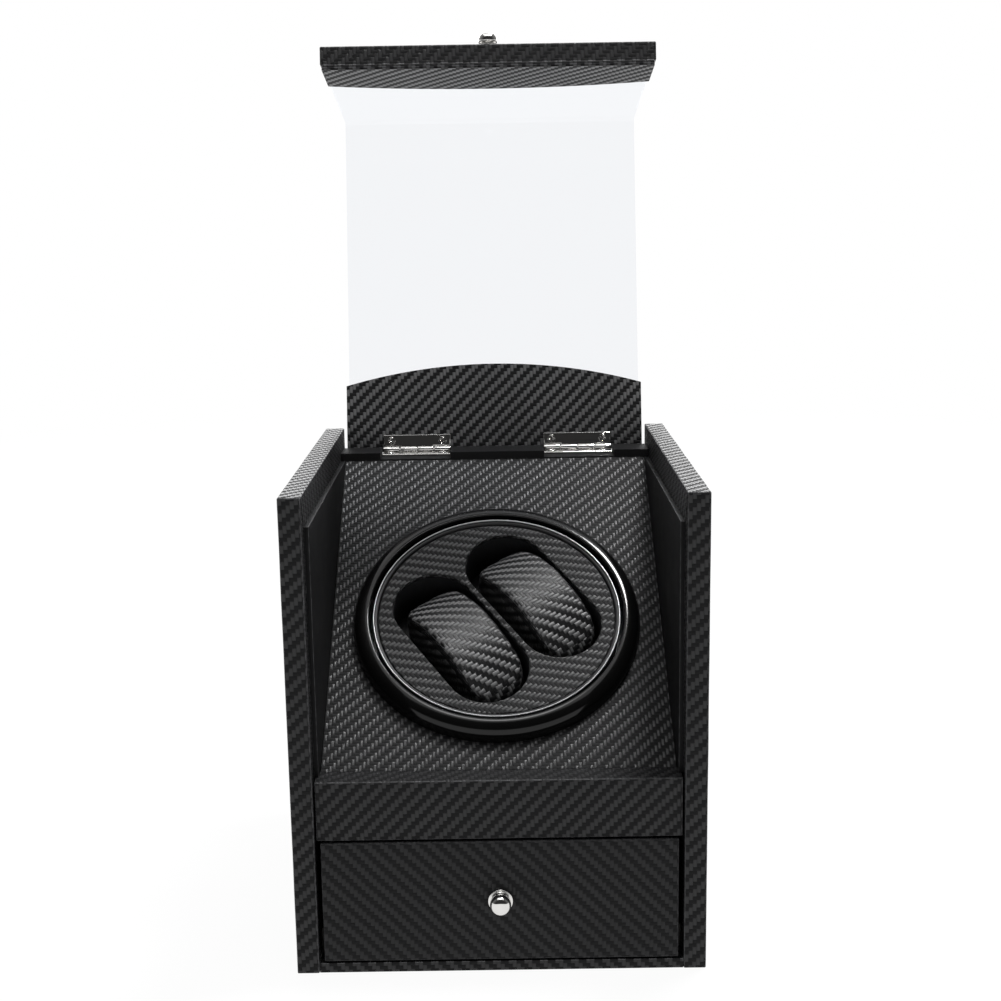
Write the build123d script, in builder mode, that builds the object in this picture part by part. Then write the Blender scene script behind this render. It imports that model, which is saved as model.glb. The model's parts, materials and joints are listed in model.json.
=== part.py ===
from build123d import *
from math import acos, cos, pi, radians, sin, tan
import os

# A watch winder box: a leather-covered case with a clear lid, a tilted turntable that carries two
# watch pillows and a drawer below. Millimetres, +Z up, front towards -Y. The origin is the centre
# of the case's footprint, on the surface that the case stands on. The lid is modelled open.

os.makedirs("parts", exist_ok=True)

# ---------------------------------------------------------------- driving dimensions

# Case
case_width = 175.0
case_depth = 182.0
case_height = 208.0
side_thickness = 9.6
back_thickness = 7.0
bottom_thickness = 4.5
felt_thickness = 0.8
divider_thickness = 3.0
lining_thickness = 2.0
lining_setback = 7.0
rest_drop = 13.5                  # the lid rests this far below the top of the side panels
wrap_radius = 0.8                 # softened edges of a leather-wrapped board

# Fascia and drawer
fascia_top = 86.0
fascia_bottom = 59.8
fascia_thickness = 8.0
fascia_setback = 1.5
fascia_gap = 0.6
ledge_depth = 18.0
ledge_thickness = 4.0
drawer_setback = 0.5
drawer_front_width = 151.4
drawer_front_bottom = 5.2
drawer_front_top = 59.2
drawer_front_thickness = 9.0
drawer_length = 150.0
drawer_wall = 4.0
drawer_floor = 3.0
drawer_side_top = 52.0

# Tilted deck and turntable
deck_tilt = 36.5
deck_thickness = 3.0
deck_front = 13.5                 # behind the front of the case
deck_width = 151.4
turntable_up_slope = 79.3         # from the deck's lower edge to the turntable's axis
deck_hole_radius = 58.4
bezel_outer_radius = 66.0
bezel_height = 7.8
face_radius = 54.3
face_top = 4.7
face_thickness = 2.1
rim_outer_radius = 56.9
rim_top = 6.3
cup_radius = 55.6
cup_bottom = -22.0
cup_floor = 2.5
slot_radius = 19.0
slot_centres = 41.7
slot_offset = 20.5                # from the turntable's axis to the middle of a slot
slot_direction = 35.4             # angle of that offset, from +X towards the uphill side
well_wall = 1.2
pillow_length = 70.0
pillow_width = 29.2
pillow_shift = 2.2
pillow_crown = 9.7
pillow_end = -6.4
pillow_bottom = -17.3
pillow_corner = 10.0

# Drive
bracket_top = -27.5
bracket_thickness = 2.0
bracket_size = (140.0, 66.0)
post_spacing = (128.0, 52.0)
post_radius = 3.5
spindle_radius = 3.0
spindle_clearance = 0.05
output_teeth = 64
idler_small_teeth = 16
fine_module = 0.6
idler_large_teeth = 48
pinion_teeth = 16
finer_module = 0.5
mesh_clearance = 0.12             # added to each pair's centre distance
motor_radius = 12.0
motor_length = 20.0

# Lid
hinge_behind_front = 177.4
rail_rise = 3.8                   # the hinge rail stands this far above the linings
hinge_below_rail = 1.4            # the hinge axis lies this far below the rail's top
lid_open = 101.5
lid_width = 152.8
window_width = 150.0
knuckle_radius = 1.8
lid_rear_overhang = 0.8
lid_reach = 169.8                 # from the hinge axis to the inside of the lid's front
lid_drop = 99.0                   # height of the lid's front, inside
liner_thickness = 0.7
front_liner_width = 151.4         # passes between the linings when the lid is closed
window_thickness = 2.0
lid_board_thickness = 6.8
lid_front_thickness = 8.2
rear_strip_side = 34.3
rear_strip_middle = 44.9
front_strip_side = 27.0
front_strip_middle = 35.5
board_step = 3.0                  # the outer boards stop short of the liners' curved edges

# Hinges
hinge_offset = 41.5
hinge_shift = 1.3                 # both hinges sit this far to the right of the middle
hinge_width = 34.8
hinge_reach = 7.8
leaf_thickness = 1.0
middle_knuckle = 17.1
knuckle_gap = 0.15
pin_radius = 0.8
pin_clearance = 0.05
hinge_screw_spacing = 26.5
hinge_screw_reach = 4.6
screw_radius = 1.1
screw_head_radius = 2.1

# Back fittings
jack_position = (34.0, 96.0)
switch_position = (0.0, 96.0)

# ---------------------------------------------------------------- derived places

front = -case_depth / 2
back = case_depth / 2
side_inner = case_width / 2 - side_thickness
lining_inner = side_inner - lining_thickness
rest_top = case_height - rest_drop
hinge_y = front + hinge_behind_front
rail_top = rest_top + rail_rise
hinge_z = rail_top - hinge_below_rail
lid_inside = knuckle_radius                 # height of the lid's inner face above the hinge axis
back_inner = back - back_thickness
back_top = hinge_z - 3.4
hinge_middles = (hinge_shift - hinge_offset, hinge_shift + hinge_offset)
divider_bottom = fascia_bottom
divider_top = divider_bottom + divider_thickness
crossbar_front = front + deck_front + (rest_top - 0.1 - fascia_top) / tan(radians(deck_tilt))

deck = Plane(
    origin=(
        0,
        front + deck_front + turntable_up_slope * cos(radians(deck_tilt)),
        fascia_top + turntable_up_slope * sin(radians(deck_tilt)),
    ),
    x_dir=(1, 0, 0),
    z_dir=(0, -sin(radians(deck_tilt)), cos(radians(deck_tilt))),
)

# The lid's own frame: x to the right, y from the hinge towards the lid's front, z from the inside
# of the lid to the outside. Its origin is on the hinge axis.
lid_frame = Plane(
    origin=(0, hinge_y, hinge_z),
    x_dir=(-1, 0, 0),
    z_dir=(0, sin(radians(lid_open)), cos(radians(lid_open))),
)
hinge_frame = Plane(origin=(0, hinge_y, hinge_z), x_dir=(-1, 0, 0), z_dir=(0, 0, 1))


def save(piece, label):
    piece.label = label
    export_step(piece, f"parts/{label}.step")
    return piece


def board(label, low, high, edge=0.0):
    """A flat board between two opposite corners, its edges softened by what it is wrapped in."""
    middle = tuple((a + b) / 2 for a, b in zip(low, high))
    size = [b - a for a, b in zip(low, high)]
    with BuildPart() as piece:
        with Locations(middle):
            Box(*size)
        if edge:
            fillet(piece.edges(), radius=edge)
    return save(piece.part, label)


def across(frame):
    """The plane through a frame's origin whose normal is -x: drawn along the frame's y and z."""
    return Plane(frame.location * Rot(0, 0, 90) * Rot(90, 0, 0))


# ---------------------------------------------------------------- case

for name, side in (("left", -1), ("right", 1)):
    inner = side * side_inner
    outer = side * case_width / 2
    board(
        f"side_panel_{name}",
        (min(inner, outer), front, 0),
        (max(inner, outer), back, case_height),
        wrap_radius,
    )

board("base_felt", (-side_inner + 2, front + 3, 0), (side_inner - 2, back - 3, felt_thickness))

board(
    "bottom_board",
    (-side_inner, front + drawer_setback, felt_thickness),
    (side_inner, back, bottom_thickness),
)

board(
    "divider_board",
    (-side_inner, front + fascia_setback + fascia_thickness, divider_bottom),
    (side_inner, back_inner, divider_top),
)

# The back panel closes the case from the bottom board up to the hinge rail. A jack and a rotary
# switch pass through it.
jack_bore_radius = 4.0
switch_bore_radius = 3.5
with BuildPart() as back_panel:
    with Locations((0, back - back_thickness / 2, (bottom_thickness + back_top) / 2)):
        Box(2 * side_inner, back_thickness, back_top - bottom_thickness)
    for (x, z), radius in ((jack_position, jack_bore_radius), (switch_position, switch_bore_radius)):
        with Locations(Plane(origin=(x, back, z), z_dir=(0, 1, 0))):
            Hole(radius=radius)
save(back_panel.part, "back_panel")

# Fascia: a front board with a ledge behind its top, in one wrapped piece.
fascia_front = front + fascia_setback
fascia_back = fascia_front + fascia_thickness
fascia_half = side_inner - fascia_gap
with BuildPart() as fascia:
    with BuildSketch(Plane.YZ.offset(-fascia_half)):
        with BuildLine():
            Polyline(
                (fascia_front, fascia_bottom),
                (fascia_back, fascia_bottom),
                (fascia_back, fascia_top - ledge_thickness),
                (fascia_front + ledge_depth, fascia_top - ledge_thickness),
                (fascia_front + ledge_depth, fascia_top),
                (fascia_front, fascia_top),
                close=True,
            )
        make_face()
    extrude(amount=2 * fascia_half)
    front_edges = fascia.edges().filter_by(Axis.X).group_by(Axis.Y)[0]
    fillet(front_edges, radius=wrap_radius)
save(fascia.part, "fascia")

# Thin linings on the side panels. Their top edges carry the closed lid.
for name, side in (("left", -1), ("right", 1)):
    inner = side * lining_inner
    outer = side * side_inner
    board(
        f"lining_{name}",
        (min(inner, outer), front + lining_setback, fascia_top),
        (max(inner, outer), crossbar_front, rest_top),
    )

# Hinge rail across the back, with a recess for each hinge, open to the front, and a lip over the
# back panel.
recess_half = hinge_width / 2 + 0.4
recess_floor = hinge_z - knuckle_radius - 0.05
rail_lip = hinge_y - 0.5
with BuildPart() as rear_crossbar:
    with BuildSketch(Plane.YZ.offset(-side_inner)):
        with BuildLine():
            Polyline(
                (crossbar_front, rest_top - 10.5),
                (back_inner, rest_top - 10.5),
                (back_inner, back_top),
                (rail_lip, back_top),
                (rail_lip, rail_top),
                (crossbar_front, rail_top),
                close=True,
            )
        make_face()
    extrude(amount=2 * side_inner)
    for middle in hinge_middles:
        with BuildSketch(Plane.XY.offset(recess_floor)):
            with Locations((middle, (crossbar_front - 1 + hinge_y + 2.6) / 2)):
                Rectangle(2 * recess_half, hinge_y + 2.6 - crossbar_front + 1)
        extrude(amount=10, mode=Mode.SUBTRACT)
        with Locations(Plane(origin=(middle, hinge_y - hinge_screw_reach, recess_floor))):
            with GridLocations(hinge_screw_spacing, 1, 2, 1):
                Hole(radius=screw_radius, depth=6)
save(rear_crossbar.part, "rear_crossbar")

# ---------------------------------------------------------------- tilted deck

# The deck's lower edge stands on the ledge and its upper edge meets the hinge rail.
slope = tan(radians(deck_tilt))
plumb = deck_thickness / cos(radians(deck_tilt))
deck_start = front + deck_front
with BuildPart() as tilted_panel:
    with BuildSketch(Plane.YZ.offset(-deck_width / 2)):
        with BuildLine():
            Polyline(
                (deck_start, fascia_top),
                (deck_start + plumb / slope, fascia_top),
                (crossbar_front, rest_top - 0.1 - plumb),
                (crossbar_front, rest_top - 0.1),
                close=True,
            )
        make_face()
    extrude(amount=deck_width)
    with BuildSketch(deck.offset(-2 * deck_thickness)):
        Circle(deck_hole_radius)
    extrude(amount=4 * deck_thickness, mode=Mode.SUBTRACT)
save(tilted_panel.part, "tilted_panel")

# Two battens under the deck, along the side panels.
cleat_length = 120.0
cleat_inner = side_inner - 10.0
cleat_outer = lining_inner - 0.1
with BuildPart() as panel_cleats:
    for side in (-1, 1):
        with BuildSketch(deck.offset(-deck_thickness)):
            with Locations((side * (cleat_inner + cleat_outer) / 2, 6)):
                Rectangle(cleat_outer - cleat_inner, cleat_length)
        extrude(amount=-8)
save(panel_cleats.part, "panel_cleats")

# The bezel stands on the deck around the turntable: a rounded ring, high at its inner lip.
bezel_lip_radius = 59.3
with BuildPart() as bezel_ring:
    with BuildSketch(Plane(deck.location * Rot(90, 0, 0))):
        with BuildLine():
            inside = Line((deck_hole_radius, 0), (deck_hole_radius, bezel_height - 1.0))
            lip = ThreePointArc(
                inside @ 1,
                (deck_hole_radius + 0.3, bezel_height - 0.3),
                (bezel_lip_radius + 0.4, bezel_height),
            )
            crown = ThreePointArc(
                lip @ 1,
                (bezel_outer_radius - 2.0, bezel_height - 2.2),
                (bezel_outer_radius, 0.8),
            )
            Polyline(crown @ 1, (bezel_outer_radius, 0), inside @ 0)
        make_face()
    revolve(axis=Axis(deck.origin, deck.z_dir))
save(bezel_ring.part, "bezel_ring")

# ---------------------------------------------------------------- turntable

axle = Axis(deck.origin, deck.z_dir)


def turned(label, outline, holes=()):
    """A piece turned about the turntable's axis from its half outline: (radius, height) points."""
    with BuildPart() as piece:
        with BuildSketch(Plane(deck.location * Rot(90, 0, 0))):
            with BuildLine():
                Polyline(*outline, close=True)
            make_face()
        revolve(axis=axle)
    return save(piece.part, label)


hub_radius = 8.0
hub_bottom = -26.8
cup_wall = 1.8
face_bottom = face_top - face_thickness
turned(
    "turntable_cup",
    [
        (spindle_radius, hub_bottom),
        (hub_radius, hub_bottom),
        (hub_radius, cup_bottom),
        (cup_radius, cup_bottom),
        (cup_radius, face_bottom),
        (cup_radius - cup_wall, face_bottom),
        (cup_radius - cup_wall, cup_bottom + cup_floor),
        (spindle_radius, cup_bottom + cup_floor),
    ],
)

with BuildPart() as turntable_face:
    with BuildSketch(deck.offset(face_bottom)):
        Circle(face_radius)
        with PolarLocations(slot_offset, 2, start_angle=slot_direction):
            SlotCenterToCenter(slot_centres, 2 * slot_radius, rotation=90, mode=Mode.SUBTRACT)
    extrude(amount=face_thickness)
save(turntable_face.part, "turntable_face")

rim_inner_radius = 54.6
with BuildPart() as turntable_rim:
    with BuildSketch(Plane(deck.location * Rot(90, 0, 0))):
        with Locations(((rim_inner_radius + rim_outer_radius) / 2, (face_bottom + rim_top) / 2)):
            Rectangle(rim_outer_radius - rim_inner_radius, rim_top - face_bottom)
    revolve(axis=axle)
    fillet(turntable_rim.edges().group_by(Axis(deck.origin, deck.z_dir))[-1], radius=0.9)
save(turntable_rim.part, "turntable_rim")

# Two wells stand on the cup's floor, open upwards, under the slots of the face.
well_bottom = cup_bottom + cup_floor
seats = {
    "right": Plane(deck.location * Rot(0, 0, slot_direction) * Pos(slot_offset, 0, 0) * Rot(0, 0, 90)),
    "left": Plane(deck.location * Rot(0, 0, slot_direction) * Pos(-slot_offset, 0, 0) * Rot(0, 0, 90)),
}
for name, seat in seats.items():
    with BuildPart() as well:
        with BuildSketch(seat.offset(well_bottom)):
            SlotCenterToCenter(slot_centres, 2 * (slot_radius + well_wall))
        extrude(amount=face_bottom - well_bottom)
        with BuildSketch(seat.offset(well_bottom + well_wall)):
            SlotCenterToCenter(slot_centres, 2 * slot_radius)
        extrude(amount=face_bottom - well_bottom, mode=Mode.SUBTRACT)
    save(well.part, f"well_{name}")

    # A watch pillow: a crowned pad that lifts straight out of its well.
    pad = Plane(seat.location * Pos(0, -pillow_shift, 0))
    with BuildPart() as pillow:
        with BuildSketch(Plane(pad.location * Rot(90, 0, 0))):
            with BuildLine():
                Polyline(
                    (pillow_length / 2, pillow_end),
                    (pillow_length / 2, pillow_bottom),
                    (-pillow_length / 2, pillow_bottom),
                    (-pillow_length / 2, pillow_end),
                )
                ThreePointArc(
                    (-pillow_length / 2, pillow_end),
                    (0, pillow_crown),
                    (pillow_length / 2, pillow_end),
                )
            make_face()
        extrude(amount=pillow_width / 2, both=True)
        upright = pillow.edges().filter_by(Axis(pad.origin, pad.z_dir))
        fillet(upright, radius=pillow_corner)
    save(pillow.part, f"pillow_{name}")

# ---------------------------------------------------------------- drive


def involute(angle):
    return tan(angle) - angle


def tooth_outline(teeth, module):
    """Half widths, as angles, of a 20 degree tooth at a few radii from its root to its tip."""
    pressure = radians(20)
    pitch_radius = module * teeth / 2
    base_radius = pitch_radius * cos(pressure)
    root_radius = pitch_radius - 1.25 * module
    tip_radius = pitch_radius + 0.85 * module
    slack = 0.06 * module / pitch_radius
    half_at_pitch = pi / (2 * teeth) - slack
    start = max(base_radius, root_radius)
    flank = []
    for step in range(5):
        radius = start + (tip_radius - start) * step / 4
        pressure_here = acos(min(1, base_radius / radius))
        half = half_at_pitch + involute(pressure) - involute(pressure_here)
        flank.append((radius, half))
    if root_radius < start:
        flank.insert(0, (root_radius, flank[0][1]))
    return flank


def gear_points(teeth, module, turn):
    """The closed outline of a spur gear, turned by an angle in radians."""
    flank = tooth_outline(teeth, module)
    points = []
    for tooth in range(teeth):
        middle = turn + 2 * pi * tooth / teeth
        for radius, half in flank:
            points.append((radius * cos(middle - half), radius * sin(middle - half)))
        for radius, half in reversed(flank):
            points.append((radius * cos(middle + half), radius * sin(middle + half)))
    return points


def gear_face(teeth, module, turn, bore):
    """A gear's outline, less its bore."""
    with BuildSketch() as outline:
        with BuildLine():
            Polyline(*gear_points(teeth, module, turn), close=True)
        make_face()
        Circle(bore, mode=Mode.SUBTRACT)
    return outline.sketch


idler_distance = fine_module * (output_teeth + idler_small_teeth) / 2 + mesh_clearance
pinion_distance = finer_module * (idler_large_teeth + pinion_teeth) / 2 + mesh_clearance
idler_centre = (-idler_distance, 0.0)
pinion_direction = radians(115)
pinion_centre = (
    idler_centre[0] + pinion_distance * cos(pinion_direction),
    idler_centre[1] + pinion_distance * sin(pinion_direction),
)

bracket_bottom = bracket_top - bracket_thickness
gear_top = bracket_bottom - 0.8
gear_thickness = 3.2
gear_gap = 0.3
large_top = gear_top - gear_thickness - gear_gap
large_bottom = large_top - gear_thickness
cover_floor_top = large_bottom - 0.8
cover_thickness = 1.6
cover_bottom = cover_floor_top - cover_thickness
bush_radius = 5.0
idler_pin_radius = 1.5

# Bracket plate under the turntable, on four posts that hang from the deck.
post_hole_radius = 1.5
with BuildPart() as motor_bracket:
    with BuildSketch(deck.offset(bracket_bottom)):
        RectangleRounded(*bracket_size, 6)
        Circle(bush_radius, mode=Mode.SUBTRACT)
        with GridLocations(*post_spacing, 2, 2):
            Circle(post_hole_radius, mode=Mode.SUBTRACT)
        with Locations(idler_centre):
            Circle(idler_pin_radius, mode=Mode.SUBTRACT)
    extrude(amount=bracket_thickness)
save(motor_bracket.part, "motor_bracket")

with BuildPart() as bracket_posts:
    with BuildSketch(deck.offset(bracket_top)):
        with GridLocations(*post_spacing, 2, 2):
            Circle(post_radius)
            Circle(post_hole_radius, mode=Mode.SUBTRACT)
    extrude(amount=-deck_thickness - bracket_top)
save(bracket_posts.part, "bracket_posts")

with BuildPart() as bracket_screws:
    with BuildSketch(deck.offset(bracket_bottom - 1.6)):
        with GridLocations(*post_spacing, 2, 2):
            Circle(3.0)
    extrude(amount=1.6)
    with BuildSketch(deck.offset(bracket_bottom)):
        with GridLocations(*post_spacing, 2, 2):
            Circle(post_hole_radius)
    extrude(amount=14)
save(bracket_screws.part, "bracket_screws")

bush_bore = spindle_radius + spindle_clearance
turned(
    "spindle_bush",
    [
        (bush_bore, bracket_bottom),
        (bush_radius, bracket_bottom),
        (bush_radius, bracket_top),
        (bush_radius + 2, bracket_top),
        (bush_radius + 2, bracket_top + 0.5),
        (bush_bore, bracket_top + 0.5),
    ],
)

# Spindle: fixed in the cup's hub, running in the bush, with the output gear at its lower end.
spindle_bottom = gear_top - gear_thickness - 1.6
turned(
    "turntable_spindle",
    [
        (0, spindle_bottom),
        (spindle_radius, spindle_bottom),
        (spindle_radius, well_bottom),
        (0, well_bottom),
    ],
)

with BuildPart() as output_gear:
    with BuildSketch(deck.offset(gear_top - gear_thickness)):
        add(gear_face(output_teeth, fine_module, 0.0, spindle_radius))
    extrude(amount=gear_thickness)
save(output_gear.part, "output_gear")

turned(
    "spindle_clip",
    [
        (spindle_radius, gear_top - gear_thickness - 0.8),
        (spindle_radius + 1.5, gear_top - gear_thickness - 0.8),
        (spindle_radius + 1.5, gear_top - gear_thickness),
        (spindle_radius, gear_top - gear_thickness),
    ],
)

# Compound idler. Its small gear meets the output gear with a tooth facing a gap, and its large
# gear meets the motor's pinion in the same way.
idler_bore = idler_pin_radius + 0.05
idler_frame = Plane(deck.location * Pos(idler_centre[0], idler_centre[1], 0))
small_turn = pi / idler_small_teeth        # a gap faces the output gear, whose tooth faces it
with BuildPart() as idler_gear:
    with BuildSketch(idler_frame.offset(gear_top - gear_thickness)):
        add(gear_face(idler_small_teeth, fine_module, small_turn, idler_bore))
    extrude(amount=gear_thickness)
    with BuildSketch(idler_frame.offset(large_bottom)):
        add(gear_face(idler_large_teeth, finer_module, pinion_direction, idler_bore))
    extrude(amount=gear_thickness)
    with BuildSketch(idler_frame.offset(large_top)):
        Circle(3.6)
        Circle(idler_bore, mode=Mode.SUBTRACT)
    extrude(amount=gear_gap)
save(idler_gear.part, "idler_gear")

with BuildPart() as idler_pin:
    with BuildSketch(idler_frame.offset(cover_bottom)):
        Circle(idler_pin_radius)
    extrude(amount=bracket_top - cover_bottom)
save(idler_pin.part, "idler_pin")

# Motor: a can below the gear cover, its shaft and pinion above.
motor_shaft_radius = 1.0
pinion_frame = Plane(deck.location * Pos(pinion_centre[0], pinion_centre[1], 0))
pinion_turn = pinion_direction + pi + pi / pinion_teeth
with BuildPart() as motor_pinion:
    with BuildSketch(pinion_frame.offset(large_bottom)):
        add(gear_face(pinion_teeth, finer_module, pinion_turn, motor_shaft_radius))
    extrude(amount=gear_thickness)
save(motor_pinion.part, "motor_pinion")

motor_boss_radius = 3.0
with BuildPart() as motor_shaft:
    with BuildSketch(pinion_frame.offset(cover_bottom - 2)):
        Circle(motor_shaft_radius)
    extrude(amount=large_top - cover_bottom + 2)
save(motor_shaft.part, "motor_shaft")

with BuildPart() as motor_can:
    with BuildSketch(pinion_frame.offset(cover_bottom)):
        Circle(motor_radius)
    extrude(amount=-motor_length)
    fillet(motor_can.edges(), radius=1.0)
    with BuildSketch(pinion_frame.offset(cover_bottom - 2)):
        Circle(motor_shaft_radius + 0.05)
    extrude(amount=2, mode=Mode.SUBTRACT)
save(motor_can.part, "motor_can")

# Gear cover: a shallow tray that closes the gear train against the bracket plate.
cover_wall = 1.5
tray_centre = (-13.0, 2.0)
tray_size = (74.0, 52.0)
with BuildPart() as gearbox_cover:
    with BuildSketch(deck.offset(cover_bottom)):
        with Locations(tray_centre):
            RectangleRounded(*tray_size, 8)
    extrude(amount=bracket_bottom - cover_bottom)
    with BuildSketch(deck.offset(cover_floor_top)):
        with Locations(tray_centre):
            RectangleRounded(tray_size[0] - 2 * cover_wall, tray_size[1] - 2 * cover_wall, 6.5)
    extrude(amount=bracket_bottom - cover_floor_top, mode=Mode.SUBTRACT)
    with BuildSketch(deck.offset(cover_bottom)):
        with Locations(idler_centre):
            Circle(idler_pin_radius)
        with Locations(pinion_centre):
            Circle(motor_shaft_radius + 0.3)
    extrude(amount=cover_thickness, mode=Mode.SUBTRACT)
save(gearbox_cover.part, "gearbox_cover")

# ---------------------------------------------------------------- lid


def lid_points(start, end, low, high):
    """Corners of a layer of the lid's top, in the lid's frame seen along its width."""
    return [(start, low), (end, low), (end, high), (start, high)]


def arched(width, length_side, length_middle):
    """A strip that starts at the x axis and whose far edge is an arc."""
    with BuildSketch() as strip:
        with BuildLine():
            Polyline(
                (-width / 2, length_side),
                (-width / 2, 0),
                (width / 2, 0),
                (width / 2, length_side),
            )
            ThreePointArc((width / 2, length_side), (0, length_middle), (-width / 2, length_side))
        make_face()
    return strip.sketch


# Frames at the start of each leather strip: the rear one begins at the lid's rear edge and runs
# towards the front; the front one begins at the lid's lower edge and runs up to the bend.
rear_frame = Plane(lid_frame.location * Pos(0, -lid_rear_overhang, lid_inside))
front_frame = Plane(
    lid_frame.location * Pos(0, lid_reach, lid_inside - lid_drop) * Rot(90, 0, 0) * Rot(0, 180, 0)
)


def at_hinge(frame, middle):
    """A frame on the hinge axis moved to the middle of one hinge."""
    return Plane(frame.location * Pos(middle * frame.x_dir.X, 0, 0))


def hinge_screw_places(frame, height, reach):
    """Planes at the four screws of one side of both hinges, in a frame on the hinge axis."""
    return [
        Plane(at_hinge(frame, middle).location * Pos(screw, reach, height))
        for middle in hinge_middles
        for screw in (-hinge_screw_spacing / 2, hinge_screw_spacing / 2)
    ]


lid_screw_length = 7.0
lid_screws_at = hinge_screw_places(lid_frame, lid_inside, hinge_screw_reach)
knob_hole_radius = 1.6
knob_height = 9.0


def lid_layer(label, frame, width, side, middle, low, high, holes, hole_radius, edge=0.0):
    """One layer of a leather strip, between two heights above the lid's inner face."""
    with BuildPart() as layer:
        with BuildSketch(Plane.XY.offset(low)):
            add(arched(width, side, middle))
        extrude(amount=high - low)
        if edge:
            fillet(layer.faces().sort_by(Axis.Z)[-1].edges(), radius=edge)
        for place in holes:
            with BuildSketch(Plane(frame.location.inverse() * place.location)):
                Circle(hole_radius)
            extrude(amount=12, both=True, mode=Mode.SUBTRACT)
    return save(frame.location * layer.part, label)


window_low = liner_thickness
window_high = window_low + window_thickness
lid_high = window_high + lid_board_thickness
lid_front_high = window_high + lid_front_thickness
knob_place = [Plane(front_frame.location * Pos(0, knob_height, 0))]

lid_layer(
    "lid_rear_liner", rear_frame, lid_width, rear_strip_side, rear_strip_middle,
    0, liner_thickness, lid_screws_at, screw_radius,
)
lid_layer(
    "lid_rear_board", rear_frame, lid_width, rear_strip_side - board_step,
    rear_strip_middle - board_step, window_high, lid_high, lid_screws_at, screw_radius, wrap_radius,
)
lid_layer(
    "lid_front_liner", front_frame, front_liner_width, front_strip_side, front_strip_middle,
    0, liner_thickness, [], knob_hole_radius,
)
lid_layer(
    "lid_front_board", front_frame, lid_width, front_strip_side - board_step,
    front_strip_middle - board_step, window_high, lid_front_high, knob_place, knob_hole_radius,
    wrap_radius,
)

# The window: one clear sheet, bent once between the lid's top and its front.
bend_inside = 1.2
inside_top = lid_inside + window_low
outside_top = lid_inside + window_high
inside_front = lid_reach + window_low
outside_front = lid_reach + window_high
window_end = lid_inside - lid_drop
with BuildPart() as lid_window:
    with BuildSketch(Plane(across(lid_frame).location * Pos(0, 0, -window_width / 2))):
        with BuildLine():
            FilletPolyline(
                (-lid_rear_overhang, inside_top),
                (inside_front, inside_top),
                (inside_front, window_end),
                radius=bend_inside,
            )
            Line((inside_front, window_end), (outside_front, window_end))
            FilletPolyline(
                (outside_front, window_end),
                (outside_front, outside_top),
                (-lid_rear_overhang, outside_top),
                radius=bend_inside + window_thickness,
            )
            Line((-lid_rear_overhang, outside_top), (-lid_rear_overhang, inside_top))
        make_face()
    extrude(amount=window_width)
    for place in lid_screws_at:
        with BuildSketch(place):
            Circle(screw_radius)
        extrude(amount=12, both=True, mode=Mode.SUBTRACT)
save(lid_window.part, "lid_window")

# ---------------------------------------------------------------- hinges


def hinge_leaf(frame, low, knuckle_spans, bore):
    """One leaf: a plate that stops short of the other leaf's knuckles, with knuckles of its own."""
    with BuildPart() as leaf:
        with BuildSketch(frame.offset(low)):
            with Locations((0, (1.8 + hinge_reach) / 2)):
                Rectangle(hinge_width, hinge_reach - 1.8)
            for start, end in knuckle_spans:
                with Locations(((start + end) / 2, 1.0)):
                    Rectangle(end - start, 2.0)
        extrude(amount=leaf_thickness)
        for start, end in knuckle_spans:
            with BuildSketch(Plane(frame.location * Pos(start, 0, 0) * Rot(0, 90, 0))):
                Circle(knuckle_radius)
            extrude(amount=end - start)
        for start, end in knuckle_spans:
            with BuildSketch(Plane(frame.location * Pos(start - 1, 0, 0) * Rot(0, 90, 0))):
                Circle(bore)
            extrude(amount=end - start + 2, mode=Mode.SUBTRACT)
    return leaf.part


half_middle = middle_knuckle / 2
outer_spans = [
    (-hinge_width / 2, -half_middle - knuckle_gap),
    (half_middle + knuckle_gap, hinge_width / 2),
]
middle_span = [(-half_middle, half_middle)]
box_screws_at = hinge_screw_places(
    hinge_frame, leaf_thickness - knuckle_radius, hinge_screw_reach
)

with BuildPart() as hinge_leaves_lower:
    for middle in hinge_middles:
        add(hinge_leaf(at_hinge(hinge_frame, middle), -knuckle_radius, outer_spans, pin_radius))
    with Locations(*[p.location for p in box_screws_at]):
        CounterSinkHole(radius=screw_radius, counter_sink_radius=screw_head_radius, depth=3)
save(hinge_leaves_lower.part, "hinge_leaves_lower")

with BuildPart() as hinge_leaves_upper:
    for middle in hinge_middles:
        frame = at_hinge(lid_frame, middle)
        add(
            hinge_leaf(
                frame, knuckle_radius - leaf_thickness, middle_span, pin_radius + pin_clearance
            )
        )
    flipped = [
        Plane(p.location * Rot(180, 0, 0))
        for p in hinge_screw_places(lid_frame, knuckle_radius - leaf_thickness, hinge_screw_reach)
    ]
    with Locations(*[p.location for p in flipped]):
        CounterSinkHole(radius=screw_radius, counter_sink_radius=screw_head_radius, depth=3)
save(hinge_leaves_upper.part, "hinge_leaves_upper")

with BuildPart() as hinge_pins:
    for middle in hinge_middles:
        start = Pos(-hinge_width / 2, 0, 0) * Rot(0, 90, 0)
        with BuildSketch(Plane(at_hinge(hinge_frame, middle).location * start)):
            Circle(pin_radius)
        extrude(amount=hinge_width)
save(hinge_pins.part, "hinge_pins")


def flat_screws(label, places, length):
    """Countersunk screws, each with its flat head at its place and its shank going down -z."""
    head = screw_head_radius - screw_radius
    with BuildPart() as screws:
        for place in places:
            with BuildSketch(Plane(place.location * Rot(90, 0, 0))):
                with BuildLine():
                    Polyline(
                        (0, 0),
                        (screw_head_radius, 0),
                        (screw_radius, -head),
                        (screw_radius, -length),
                        (0, -length),
                        close=True,
                    )
                make_face()
            revolve(axis=Axis(place.origin, place.z_dir))
            for turn in (0, 90):
                with BuildSketch(Plane(place.location * Pos(0, 0, -0.4) * Rot(0, 0, turn))):
                    Rectangle(2.4, 0.5)
                extrude(amount=1, mode=Mode.SUBTRACT)
    return save(screws.part, label)


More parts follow.
